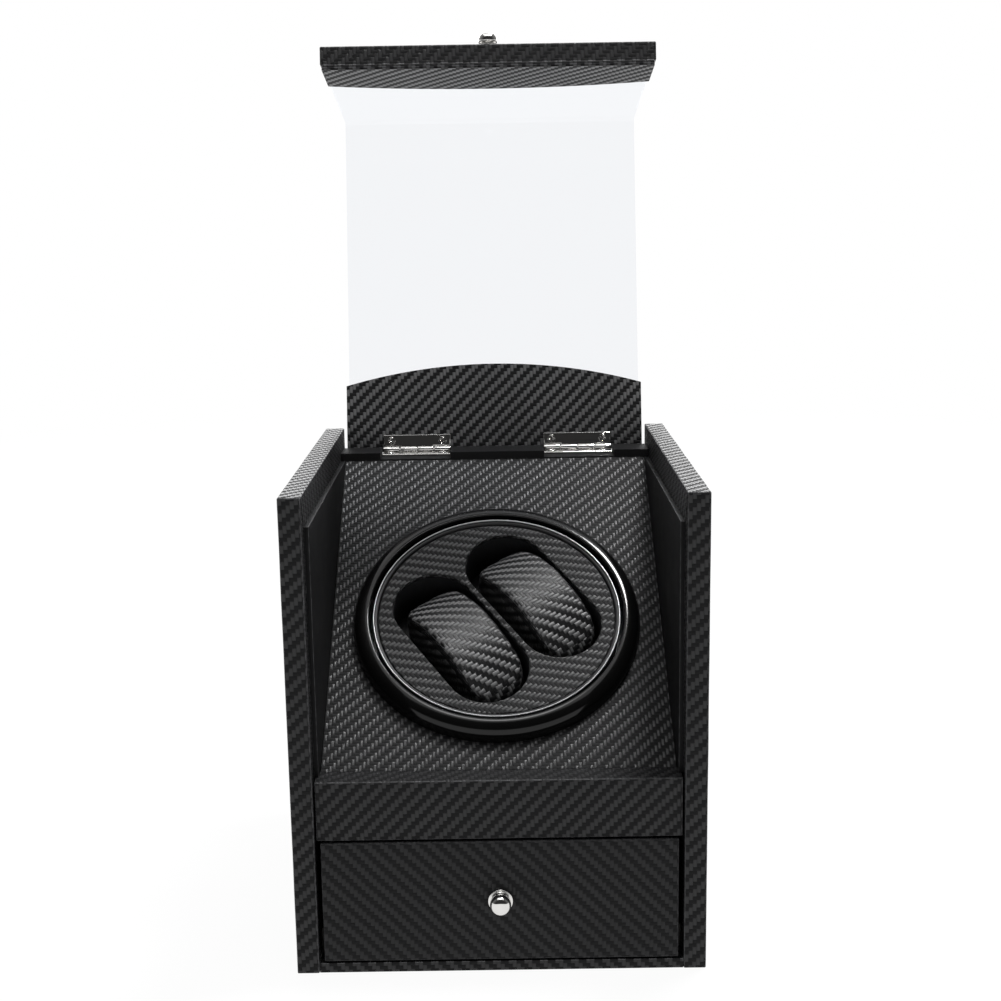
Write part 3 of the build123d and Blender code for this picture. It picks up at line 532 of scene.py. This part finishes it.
def rounded_board(low, high, radius, step=6 * MM, wobble=0.0, matrix=ROW, seed=0.0, corner_steps=4):
    """A flat board wrapped in leather: rounded edges and a surface that wavers a little."""
    low, high = Vector(low), Vector(high)
    lines = [stops(low[i], high[i], radius, step, corner_steps) for i in range(3)]
    bm = bmesh.new()
    edge_layer = bm.verts.layers.float.new("edge")
    known = {}
    slack = Vector((radius,) * 3)

    def vertex(point):
        key = tuple(round(c * 1e7) for c in point)
        if key not in known:
            inside = Vector(max(a, min(b, c)) for a, b, c in zip(low + slack, high - slack, point))
            out = Vector(point) - inside
            direction = out.normalized()
            wave = noise.noise(Vector(point) * WAVE_SCALE + Vector((seed, 0, 0))) - WAVE_SINK
            made = bm.verts.new(matrix @ (inside + direction * (radius + wobble * wave)))
            made[edge_layer] = 1.0 if max(abs(c) for c in direction) < EDGE_LEAN else 0.0
            known[key] = made
        return known[key]

    for axis in range(3):
        a, b = (axis + 1) % 3, (axis + 2) % 3
        for value, flip in ((low[axis], True), (high[axis], False)):
            for i in range(len(lines[a]) - 1):
                for j in range(len(lines[b]) - 1):
                    corners = []
                    for da, db in ((0, 0), (1, 0), (1, 1), (0, 1)):
                        point = [0, 0, 0]
                        point[axis], point[a], point[b] = value, lines[a][i + da], lines[b][j + db]
                        corners.append(vertex(tuple(point)))
                    if flip:
                        corners.reverse()
                    bm.faces.new(corners)
    return finished(bm, "board")


def finished(bm, name):
    """A smooth-shaded mesh from a bmesh."""
    bmesh.ops.remove_doubles(bm, verts=bm.verts, dist=1e-7)
    bmesh.ops.recalc_face_normals(bm, faces=bm.faces)
    mesh = bpy.data.meshes.new(name)
    bm.to_mesh(mesh)
    bm.free()
    for face in mesh.polygons:
        face.use_smooth = True
    return mesh


def joined(*meshes):
    """One mesh from several."""
    bm = bmesh.new()
    for mesh in meshes:
        bm.from_mesh(mesh)
    made = bpy.data.meshes.new("joined")
    bm.to_mesh(made)
    bm.free()
    for face in made.polygons:
        face.use_smooth = True
    return made


def rounded_corner(centre, radius, start, end, steps=6):
    """Points of an arc in a profile, its angles in degrees."""
    return [
        (
            centre[0] + radius * math.cos(math.radians(start + (end - start) * i / steps)),
            centre[1] + radius * math.sin(math.radians(start + (end - start) * i / steps)),
        )
        for i in range(steps + 1)
    ]


def lathe(profile, matrix, segments=160, closed=True):
    """A solid turned about a frame's z axis from a profile of (radius, height) points."""
    bm = bmesh.new()
    rings = []
    for i in range(segments):
        turn = 2 * math.pi * i / segments
        rings.append([
            bm.verts.new(matrix @ Vector((r * math.cos(turn), r * math.sin(turn), h)))
            for r, h in profile
        ])
    count = len(profile)
    for i in range(segments):
        here, there = rings[i], rings[(i + 1) % segments]
        for j in range(count if closed else count - 1):
            k = (j + 1) % count
            bm.faces.new((here[j], there[j], there[k], here[k]))
    return finished(bm, "lathe")


def tube(points, radius, sides=8):
    """A round bead along a line of points."""
    bm = bmesh.new()
    rings = []
    turns = [2 * math.pi * s / sides for s in range(sides)]
    for i, point in enumerate(points):
        before, after = points[max(0, i - 1)], points[min(len(points) - 1, i + 1)]
        along = (after - before).normalized()
        first = along.orthogonal().normalized() if i == 0 else (
            first - along * first.dot(along)
        ).normalized()
        second = along.cross(first)
        end = 0.35 if i in (0, len(points) - 1) else 1.0
        rings.append([
            bm.verts.new(point + (first * math.cos(turn) + second * math.sin(turn)) * radius * end)
            for turn in turns
        ])
    for here, there in zip(rings, rings[1:]):
        for s in range(sides):
            bm.faces.new((here[s], here[(s + 1) % sides], there[(s + 1) % sides], there[s]))
    bm.faces.new(reversed(rings[0]))
    bm.faces.new(rings[-1])
    return finished(bm, "tube")


def plate(outlines, low, high, edge, matrix, edge_steps=4):
    """A flat plate with rounded edges, from closed outlines in a frame's x and y."""
    curve = bpy.data.curves.new("plate", "CURVE")
    curve.dimensions = "2D"
    curve.fill_mode = "BOTH"
    curve.extrude = (high - low) / 2 - edge
    curve.bevel_depth = edge
    curve.bevel_resolution = edge_steps
    curve.offset = -edge
    for outline in outlines:
        spline = curve.splines.new("POLY")
        spline.points.add(len(outline) - 1)
        for point, (x, y) in zip(spline.points, outline):
            point.co = (x, y, 0, 1)
        spline.use_cyclic_u = True
    holder = bpy.data.objects.new("plate", curve)
    scene.collection.objects.link(holder)
    bpy.context.view_layer.update()
    mesh = bpy.data.meshes.new_from_object(
        holder.evaluated_get(bpy.context.evaluated_depsgraph_get())
    )
    bpy.data.objects.remove(holder)
    mesh.transform(matrix @ Matrix.Translation((0, 0, (low + high) / 2)))
    for face in mesh.polygons:
        face.use_smooth = True
    mesh.set_sharp_from_angle(angle=math.radians(40))
    return mesh


def stadium(centre, reach, radius, steps=40):
    """The outline of a slot along x, whose end arcs are centred at reach from its centre."""
    points = []
    for side, start in ((1, -90), (-1, 90)):
        end_centre = (centre[0] + side * reach, centre[1])
        points += rounded_corner(end_centre, radius, start, start + 180, steps)
    return points


def circle(radius, steps=180):
    return [
        (radius * math.cos(2 * math.pi * i / steps), radius * math.sin(2 * math.pi * i / steps))
        for i in range(steps)
    ]


# ---------------------------------------------------------------- case

WRAP, WRAP_WOBBLE = 0.6 * MM, 0.10 * MM
LINING_EDGE, LINING_WOBBLE = 0.25 * MM, 0.04 * MM
BOARD_EDGE = 0.5 * MM
UNDER = 0.1 * MM              # keeps an inner box below the face of an outer one

for side in ("left", "right"):
    low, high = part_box(f"side_panel_{side}")
    panel = rounded_board(
        low, high, WRAP, 5 * MM, WRAP_WOBBLE, seed=3.0 if side == "left" else 8.0
    )
    add_piece(
        f"side_panel_{side}_leather", panel, weave_upright, "case", "carbon_leather",
        f"side_panel_{side}",
    )
    low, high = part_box(f"lining_{side}")
    lining = rounded_board(low, high, LINING_EDGE, 6 * MM, LINING_WOBBLE, seed=5.0)
    add_piece(
        f"lining_{side}_leather", lining, smooth_leather, "case", "plain_leather", f"lining_{side}"
    )

fascia_low, fascia_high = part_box("fascia")
drawer_low, drawer_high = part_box("drawer_front")
FASCIA_THICKNESS, LEDGE_THICKNESS = 8 * MM, 4 * MM
fascia_face = rounded_board(
    fascia_low, (fascia_high.x, fascia_low.y + FASCIA_THICKNESS, fascia_high.z),
    WRAP, 5 * MM, WRAP_WOBBLE, seed=13.0,
)
ledge = rounded_board(
    (fascia_low.x, fascia_low.y + FASCIA_THICKNESS - 2 * WRAP, fascia_high.z - LEDGE_THICKNESS),
    (fascia_high.x, fascia_high.y, fascia_high.z - UNDER), BOARD_EDGE,
)
add_piece(
    "fascia_leather", joined(fascia_face, ledge), weave_upright, "case", "carbon_leather", "fascia"
)
add_piece(
    "drawer_front_leather",
    rounded_board(drawer_low, drawer_high, WRAP, 5 * MM, WRAP_WOBBLE, seed=21.0),
    weave_drawer, "drawer", "carbon_leather", "drawer_front",
)

# The bottom board's leather turns under its front edge, in front of the felt.
LIP_DEPTH, LIP_LOW, LIP_EDGE = 1.6 * MM, 0.1 * MM, 0.3 * MM
board_low, board_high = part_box("bottom_board")
panel_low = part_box("side_panel_left")[0]
lip = rounded_board(
    (board_low.x, board_low.y, panel_low.z + LIP_LOW),
    (board_high.x, board_low.y + LIP_DEPTH, board_high.z), LIP_EDGE, 5 * MM, seed=31.0,
)
board = rounded_board(
    (board_low.x, board_low.y + LIP_DEPTH / 2, board_low.z),
    (board_high.x, board_high.y, board_high.z - UNDER), BOARD_EDGE, 8 * MM,
)
for place in board.attributes["edge"].data:
    place.value = 0.0         # only the lip gets the lighter edges of wear and painted highlight
add_piece(
    "bottom_board_leather", joined(lip, board), weave_lip, "case", "carbon_leather",
    "bottom_board",
)

# A folded corner of leather runs from each side panel's top to its lining.
FOLD, FOLD_STEPS = 0.16 * MM, 12
for side, inward in (("left", 1), ("right", -1)):
    panel_low, panel_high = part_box(f"side_panel_{side}")
    lining_low, lining_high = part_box(f"lining_{side}")
    inner = panel_high.x if inward > 0 else panel_low.x
    top, corner = (
        Vector((inner, panel_low.y + 0.5 * MM, panel_high.z - 0.6 * MM)),
        Vector((inner, lining_low.y, lining_high.z)),
    )
    fold = [top.lerp(corner, i / FOLD_STEPS) for i in range(FOLD_STEPS + 1)]
    add_piece(f"fold_{side}", tube(fold, FOLD, 6), weave_upright, "case", "carbon_leather")

# ---------------------------------------------------------------- bezel and turntable

BEZEL_INSIDE, BEZEL_OUTSIDE, BEZEL_HEIGHT = 58.4 * MM, 66.0 * MM, 7.8 * MM
BEZEL_FOOT, CROWN_STEPS, CROWN_FULLNESS = 0.8 * MM, 16, 0.9
crown = 0.7 * MM
bezel_profile = (
    [(BEZEL_INSIDE, 0.0), (BEZEL_INSIDE, BEZEL_HEIGHT - crown)]
    + rounded_corner((BEZEL_INSIDE + crown, BEZEL_HEIGHT - crown), crown, 180, 90)
)
crown_start, crown_end = (BEZEL_INSIDE + crown, BEZEL_HEIGHT), (BEZEL_OUTSIDE, BEZEL_FOOT)
for i in range(1, CROWN_STEPS + 1):
    turn = math.pi / 2 * i / CROWN_STEPS
    bezel_profile.append((
        crown_start[0] + (crown_end[0] - crown_start[0]) * math.sin(turn),
        crown_end[1] + (crown_start[1] - crown_end[1]) * math.cos(turn) ** CROWN_FULLNESS,
    ))
bezel_profile.append((BEZEL_OUTSIDE, 0.0))
add_piece(
    "bezel_ring_gloss", lathe(bezel_profile, DECK, 240), finishes["gloss_black"], "case",
    "gloss_black", "bezel_ring",
)

RIM_INSIDE, RIM_OUTSIDE, RIM_TOP = 54.6 * MM, 56.9 * MM, 6.3 * MM
FACE_RADIUS, FACE_TOP, FACE_THICKNESS, FACE_EDGE = 54.3 * MM, 4.7 * MM, 2.1 * MM, 0.8 * MM
rim_step = RIM_TOP - 0.9 * MM
rim_profile = [
    (RIM_INSIDE, FACE_TOP - FACE_THICKNESS), (RIM_INSIDE, rim_step - 0.4 * MM),
    (RIM_INSIDE + 0.4 * MM, rim_step), (RIM_OUTSIDE - 0.3 * MM, rim_step),
    (RIM_OUTSIDE, rim_step - 0.3 * MM), (RIM_OUTSIDE, FACE_TOP - FACE_THICKNESS),
]
add_piece(
    "turntable_rim_band", lathe(rim_profile, DECK, 200), finishes["black_plastic"], "turntable",
    "black_plastic", "turntable_rim",
)
BEAD = 0.30 * MM
bead_profile = [
    (RIM_OUTSIDE - 0.55 * MM + BEAD * math.cos(a), RIM_TOP - BEAD + BEAD * math.sin(a))
    for a in (math.pi / 6 * i for i in range(12))
]
add_piece(
    "turntable_rim_bead", lathe(bead_profile, DECK, 240), finishes["satin_rim"], "turntable",
    "satin_rim",
)

SLOT_RADIUS, SLOT_REACH, SLOT_OFFSET = 19.0 * MM, 41.7 * MM / 2, 20.5 * MM
face_slots = [stadium((0, side * SLOT_OFFSET), SLOT_REACH, SLOT_RADIUS) for side in (-1, 1)]
face = plate(
    [circle(FACE_RADIUS), *face_slots], FACE_TOP - FACE_THICKNESS, FACE_TOP, FACE_EDGE, TURNTABLE
)
add_piece(
    "turntable_face_leather", face, weave_turntable, "turntable", "carbon_leather", "turntable_face"
)

# ---------------------------------------------------------------- pillows

PILLOW_LENGTH, PILLOW_WIDTH = 70.0 * MM, 29.2 * MM
PILLOW_CROWN, PILLOW_END = 9.7 * MM, -6.4 * MM
VOXEL = 1.5 * MM
SWELL = 0.7 * MM              # the cloth may move this far
SIM_FRAMES = 20
HELD_BELOW = -9 * MM          # the cloth is held lower than this, in its well
CLOTH_PRESSURE, CLOTH_STIFFNESS, CLOTH_BENDING = 4, 15, 0.5


def crown_height(along):
    """Height of a pillow's top, above the deck, at a distance from its middle."""
    rise, half = PILLOW_CROWN - PILLOW_END, PILLOW_LENGTH / 2
    radius = (half * half + rise * rise) / (2 * rise)
    return PILLOW_CROWN - radius + math.sqrt(max(0.0, radius * radius - along * along))


def voxel_copy(name, node, shrink):
    """A closed even mesh of a CAD node, pulled in a little, to inflate as cloth."""
    mesh = frame["nodes"][node].data.copy()
    piece = bpy.data.objects.new(name, mesh)
    scene.collection.objects.link(piece)
    centre = sum((v.co for v in mesh.vertices), Vector()) / len(mesh.vertices)
    size = PILLOW_WIDTH / 2
    for vertex in mesh.vertices:
        vertex.co = centre + (vertex.co - centre) * (1 - shrink / size)
    remesh = piece.modifiers.new("even", "REMESH")
    remesh.mode = "VOXEL"
    remesh.voxel_size = VOXEL
    soften = piece.modifiers.new("soften", "SMOOTH")
    soften.iterations = 4
    return piece


def baked(piece):
    """Replaces a piece's mesh by its mesh with modifiers applied."""
    bpy.context.view_layer.update()
    made = bpy.data.meshes.new_from_object(
        piece.evaluated_get(bpy.context.evaluated_depsgraph_get())
    )
    piece.modifiers.clear()
    piece.data = made
    return piece


def inflated(piece, matrix):
    """Blows the piece up as cloth, holding what lies low in its well, and applies the result."""
    start = [v.co.copy() for v in piece.data.vertices]
    inverse = matrix.inverted()
    held = piece.vertex_groups.new(name="held")
    for index, point in enumerate(start):
        height = (inverse @ point).z
        held.add([index], 1.0 if height < HELD_BELOW else 0.0, "REPLACE")
    cloth = piece.modifiers.new("cloth", "CLOTH")
    cloth.settings.quality = 6
    cloth.settings.vertex_group_mass = "held"
    cloth.settings.use_pressure = True
    cloth.settings.uniform_pressure_force = CLOTH_PRESSURE
    cloth.settings.effector_weights.gravity = 0
    cloth.settings.tension_stiffness = CLOTH_STIFFNESS
    cloth.settings.compression_stiffness = CLOTH_STIFFNESS
    cloth.settings.bending_stiffness = CLOTH_BENDING
    cloth.point_cache.frame_start, cloth.point_cache.frame_end = 1, SIM_FRAMES
    for number in range(1, SIM_FRAMES + 1):
        scene.frame_set(number)
    baked(piece)
    scene.frame_set(1)
    for vertex, before in zip(piece.data.vertices, start):
        moved = vertex.co - before
        if moved.length > SWELL:
            vertex.co = before + moved * (SWELL / moved.length)
    return piece


LAYERS, LAYER_TOP, LAYER_STEP, LAYER_BEAD = 4, 2.2 * MM, 1.1 * MM, 0.32 * MM
LAYER_LENGTH, LAYER_POINTS = PILLOW_LENGTH - 20 * MM, 48

for name, side in (("left", -1), ("right", 1)):
    pad = TURNTABLE @ Matrix.Translation((0, side * SLOT_OFFSET, 0))
    pillow = baked(voxel_copy(f"pillow_{name}_leather", f"pillow_{name}", SWELL))
    inflated(pillow, pad)
    pillow.modifiers.new("soften", "SMOOTH").iterations = 3
    finer = pillow.modifiers.new("finer", "SUBSURF")
    finer.levels = finer.render_levels = 1
    baked(pillow)
    for polygon in pillow.data.polygons:
        polygon.use_smooth = True
    pillow.data.materials.clear()
    pillow.data.materials.append(weave_pillow)
    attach(pillow, f"{name}_pillow")
    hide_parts(f"pillow_{name}")

    # The cut edges of the leather and its backing show as fine lines along the pillow's sides.
    tree = BVHTree.FromPolygons(
        [v.co for v in pillow.data.vertices], [p.vertices[:] for p in pillow.data.polygons]
    )
    low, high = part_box(f"pillow_{name}")
    middle = pad.inverted() @ ((low + high) / 2)
    ridges = []
    for face_side in (-1, 1):
        for layer in range(LAYERS):
            points = []
            for i in range(LAYER_POINTS + 1):
                along = (i / LAYER_POINTS - 0.5) * LAYER_LENGTH
                height = crown_height(along) - LAYER_TOP - LAYER_STEP * layer
                start = pad @ Vector((along, middle.y + face_side * PILLOW_WIDTH, height))
                hit = tree.ray_cast(start, pad.to_3x3() @ Vector((0, -face_side, 0)))[0]
                if hit:
                    points.append(hit)
            if len(points) > 8:
                ridges.append(tube(points, LAYER_BEAD))
    add_piece(
        f"pillow_{name}_layers", joined(*ridges), smooth_leather, f"{name}_pillow", "plain_leather"
    )

# ---------------------------------------------------------------- knobs

KNOB_FLANGE, KNOB_NECK, KNOB_CAP, KNOB_LENGTH = 5.3 * MM, 2.6 * MM, 4.5 * MM, 7.6 * MM
CAP_MIDDLE = 4.3 * MM         # where the domed cap is widest
DOME_STEPS, DOME_FULLNESS = 18, 0.8

# From the foot up: three rings of the flange, the neck, and the shoulder under the dome.
knob_profile = (
    [(0.0, 0.05 * MM), (KNOB_FLANGE - 0.1 * MM, 0.05 * MM)]
    + rounded_corner((KNOB_FLANGE - 0.35 * MM, 0.45 * MM), 0.35 * MM, -20, 110)
    + rounded_corner((KNOB_FLANGE - 1.25 * MM, 0.95 * MM), 0.25 * MM, -30, 120)
    + rounded_corner((KNOB_FLANGE - 2.0 * MM, 1.25 * MM), 0.25 * MM, -30, 100)
    + [(KNOB_NECK, 1.9 * MM), (KNOB_NECK + 0.1 * MM, 2.5 * MM)]
    + rounded_corner((KNOB_CAP - 0.7 * MM, 3.6 * MM), 0.7 * MM, -80, -10, 6)
)
for i in range(1, DOME_STEPS + 1):
    turn = math.pi / 2 * i / DOME_STEPS
    knob_profile.append((
        KNOB_CAP * math.cos(turn) ** DOME_FULLNESS if i < DOME_STEPS else 0.0,
        CAP_MIDDLE + (KNOB_LENGTH - 0.05 * MM - CAP_MIDDLE) * math.sin(turn),
    ))
drawer_middle = (drawer_low + drawer_high) / 2
knob_low, knob_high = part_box("lid_knob")
lid_knob_middle = LID.inverted() @ ((knob_low + knob_high) / 2)
DRAWER_KNOB = axes_matrix(
    Vector((drawer_middle.x, drawer_low.y, drawer_middle.z)), RIGHT, Vector((0, 0, 1))
)
LID_KNOB = LID @ Matrix.Translation(
    (lid_knob_middle.x, lid_knob_middle.y - KNOB_LENGTH / 2, lid_knob_middle.z)
) @ Matrix.Rotation(-math.pi / 2, 4, "X")
for name, place, body in (("drawer_knob", DRAWER_KNOB, "drawer"), ("lid_knob", LID_KNOB, "lid")):
    add_piece(
        f"{name}_nickel", lathe(knob_profile, place, 96, closed=False), finishes["nickel"], body,
        "nickel", name,
    )

# A rolled strip of leather closes the window's end edge, between the liner and the board.
STRIP_HALF = 0.9 * MM         # half its thickness, across the window
STRIP_OUT, STRIP_IN, STRIP_EDGE = 0.5 * MM, 1.2 * MM, 0.5 * MM
LID_ROW = LID.inverted()


def lid_box(node):
    """The box of a CAD node in the lid's own frame."""
    held = frame["nodes"][node]
    points = [LID_ROW @ (held.matrix_world @ v.co) for v in held.data.vertices]
    return [Vector([end(p[i] for p in points) for i in range(3)]) for end in (min, max)]


liner_low, liner_high = lid_box("lid_front_liner")
board_low, board_high = lid_box("lid_front_board")
strip_middle = (liner_high.y + board_low.y) / 2
end_strip = rounded_board(
    (liner_low.x, strip_middle - STRIP_HALF, liner_low.z - STRIP_OUT),
    (liner_high.x, strip_middle + STRIP_HALF, liner_low.z + STRIP_IN),
    STRIP_EDGE, 4 * MM, 0.05 * MM, LID, 41.0,
)
add_piece("lid_end_strip", end_strip, weave_lid_end, "lid", "carbon_leather")

# ---------------------------------------------------------------- hinges

HINGE_HALF, HINGE_REACH, LEAF_THICKNESS, KNUCKLE = 17.4 * MM, 7.8 * MM, 1.0 * MM, 1.8 * MM
MIDDLE_KNUCKLE, KNUCKLE_GAP, PIN = 8.55 * MM, 0.5 * MM, 0.8 * MM
SCREW_REACH, SCREW_HALF, SCREW_HEAD, SCREW_PROUD = 4.6 * MM, 13.25 * MM, 2.1 * MM, 0.35 * MM
LEAF_EDGE, SCREW_EDGE = 0.42 * MM, 0.22 * MM
CROSS_REACH, CROSS_HALF = 1.25 * MM, 0.28 * MM      # the recess in a screw's head
RECESS_TOP, RECESS_FLOOR, RECESS_RADIUS = -0.1 * MM, -0.4 * MM, 1.4 * MM
KNUCKLE_CLEARANCE = 0.08 * MM   # to the liner that lies on the knuckles
ACROSS_X = Matrix.Rotation(math.pi / 2, 4, "Y")
CASE_HINGE = axes_matrix(Vector(hinge["pos_m"]), -RIGHT, Vector((0, -1, 0)))
leaves_low, leaves_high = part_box("hinge_leaves_upper")
hinge_middles = (leaves_low.x + HINGE_HALF, leaves_high.x - HINGE_HALF)


def leaf_outline(tongues):
    """A leaf in the plane of its hinge: a plate, and tongues that run to its own knuckles."""
    near = KNUCKLE + 0.1 * MM
    points = [(HINGE_HALF, HINGE_REACH), (-HINGE_HALF, HINGE_REACH), (-HINGE_HALF, near)]
    for start, end in tongues:
        points += [(start, near), (start, 0.4 * MM), (end, 0.4 * MM), (end, near)]
    points.append((HINGE_HALF, near))
    return [p for n, p in enumerate(points) if p != points[n - 1]]     # without repeated points


def cross_outline(reach, half):
    """The recess of a screw's head."""
    corners = ((reach, half), (half, half), (half, reach))
    turned = []
    for quarter in range(4):
        for x, y in corners:
            for _ in range(quarter):
                x, y = -y, x
            turned.append((x, y))
    return turned


def knuckle(place, start, end):
    """One rolled knuckle with softened ends, on a hinge's axis."""
    soft, roll = 0.25 * MM, KNUCKLE - KNUCKLE_CLEARANCE
    profile = (
        [(PIN * 0.6, start)] + rounded_corner((roll - soft, start + soft), soft, -90, 0, 4)
        + rounded_corner((roll - soft, end - soft), soft, 0, 90, 4) + [(PIN * 0.6, end)]
    )
    return lathe(profile, place @ ACROSS_X, 48)


outer_spans = [
    (-HINGE_HALF, -MIDDLE_KNUCKLE - KNUCKLE_GAP), (MIDDLE_KNUCKLE + KNUCKLE_GAP, HINGE_HALF)
]
middle_spans = [(-MIDDLE_KNUCKLE, -KNUCKLE_GAP / 2), (KNUCKLE_GAP / 2, MIDDLE_KNUCKLE)]
for name, base, body, spans, face_side in (
    ("upper", LID, "lid", middle_spans, 1), ("lower", CASE_HINGE, "case", outer_spans, -1)
):
    leaf_meshes, screw_meshes = [], []
    low, high = sorted((face_side * KNUCKLE, face_side * (KNUCKLE - LEAF_THICKNESS)))
    face_height = face_side * (KNUCKLE - LEAF_THICKNESS)
    tongues = spans if name == "lower" else [(-MIDDLE_KNUCKLE, MIDDLE_KNUCKLE)]
    for middle_x in hinge_middles:
        here = base.copy()
        here.translation = Vector(hinge["pos_m"]) + RIGHT * middle_x
        leaf_meshes.append(plate([leaf_outline(tongues)], low, high, LEAF_EDGE, here, 3))
        leaf_meshes += [knuckle(here, start, end) for start, end in spans]
        for side in (-1, 1):
            head = here @ Matrix.Translation((side * SCREW_HALF, SCREW_REACH, face_height))
            if face_side > 0:
                head = head @ Matrix.Rotation(math.pi, 4, "X")
            head = head @ Matrix.Rotation(math.radians(35 + 50 * side), 4, "Z")
            screw_meshes.append(plate(
                [circle(SCREW_HEAD, 48), cross_outline(CROSS_REACH, CROSS_HALF)],
                -0.3 * MM, SCREW_PROUD, SCREW_EDGE, head, 2,
            ))
            screw_meshes.append(lathe(
                [
                    (0.0, RECESS_TOP), (RECESS_RADIUS, RECESS_TOP),
                    (RECESS_RADIUS, RECESS_FLOOR), (0.0, RECESS_FLOOR),
                ],
                head, 32,
            ))
    add_piece(
        f"hinge_{name}_leaves_nickel", joined(*leaf_meshes), finishes["nickel"], body, "nickel",
        f"hinge_leaves_{name}",
    )
    add_piece(
        f"hinge_{name}_screws_nickel", joined(*screw_meshes), finishes["nickel"], body, "nickel",
        f"hinge_screws_{name}",
    )

# Narrow bevels catch the light along the edges of the leather rail and of the back's fittings.
for name, width in (("rear_crossbar", 0.35), ("mode_knob", 0.15), ("dc_jack", 0.15)):
    bevel = frame["nodes"][name].modifiers.new("soft_edges", "BEVEL")
    bevel.width = width * MM
    bevel.segments = 3
    bevel.limit_method = "ANGLE"
    bevel.angle_limit = math.radians(50)

# ---------------------------------------------------------------- stage and light


def stage_mesh(name, points, material):
    mesh = bpy.data.meshes.new(name)
    mesh.from_pydata(points, [], [tuple(range(len(points)))])
    made = bpy.data.objects.new(name, mesh)
    mesh.materials.append(material)
    scene.collection.objects.link(made)
    return made


# The floor turns from a lit surface near the box into an even white glow further away.
FLOOR_HALF, GLOW_FROM, GLOW_OVER = 2.4, 0.7, 0.9
FLOOR_SHADE, FLOOR_GLOW = 0.06, 0.945
floor_pale, tree, shader = new_material("floor_pale")
parts = tree.nodes.new("ShaderNodeSeparateXYZ")
tree.links.new(add_node(tree, "ShaderNodeTexCoord", "Object"), parts.inputs[0])
x, y = (Value(tree, parts.outputs[i]) for i in (0, 1))
away = (((x * x + y * y) ** 0.5 - GLOW_FROM) / GLOW_OVER).clamped()
set_shader(
    tree, shader, Roughness=0.9, Specular_IOR_Level=0.0,
    Base_Color=colour_between(
        away + noise_value(tree, 3, 2.0) * 0.02, (FLOOR_SHADE,) * 3, (0.0, 0.0, 0.0)
    ),
    Emission_Color=(1, 1, 1, 1), Emission_Strength=away * (1.0 - FLOOR_GLOW) + FLOOR_GLOW,
)
stage_mesh(
    "floor", [(x * FLOOR_HALF, y * FLOOR_HALF, 0) for x, y in ((-1, -1), (1, -1), (1, 1), (-1, 1))],
    floor_pale,
)


def softbox(name, at, towards, size, power):
    light = bpy.data.lights.new(name, "AREA")
    light.shape = "RECTANGLE"
    light.size, light.size_y = size
    light.energy = power
    made = bpy.data.objects.new(name, light)
    made.location = at
    made.rotation_mode = "QUATERNION"
    made.rotation_quaternion = (Vector(towards) - Vector(at)).to_track_quat("-Z", "Y")
    scene.collection.objects.link(made)
    return made


middle = (cad_low + cad_high) / 2
softbox("overhead_right", (0.32, 0.18, 1.35), middle, (0.26, 0.26), 15.0)
softbox("overhead_front", (-0.02, -0.26, 1.35), middle, (0.40, 0.26), 2.2)
softbox("floor_wash", (0.0, 0.2, 2.8), (0, 0.2, 0), (3.0, 3.0), 34)
softbox("behind", (0.0, 2.0, 0.85), middle, (3.0, 0.8), 30)
for light in [o for o in scene.objects if o.type == "LIGHT"]:
    light.visible_camera = False

# The studio's walls are pale as high as the other views see, and dark above that in front.
world = bpy.data.worlds.new("studio")
world.use_nodes = True
tree = world.node_tree
parts = tree.nodes.new("ShaderNodeSeparateXYZ")
tree.links.new(add_node(tree, "ShaderNodeTexCoord", "Generated"), parts.inputs[0])
x, y, z = (Value(tree, out) for out in parts.outputs)
WALL_TOP, WALL_FADE = 0.135, 0.05         # sines of the angles above the horizon
WALL_LIGHT, FRONT_LIGHT, BACK_LIGHT = 1.0, 0.03, 0.30
above = ((z - WALL_TOP) / WALL_FADE).clamped()
behind = (y * 0.8 + 0.5).clamped() * (BACK_LIGHT - FRONT_LIGHT) + FRONT_LIGHT
background = tree.nodes["Background"]
background.inputs[0].default_value = (1, 1, 1, 1)
feed(tree, pick(above, behind, WALL_LIGHT), background.inputs[1])
scene.world = world
scene.view_settings.view_transform = "Standard"
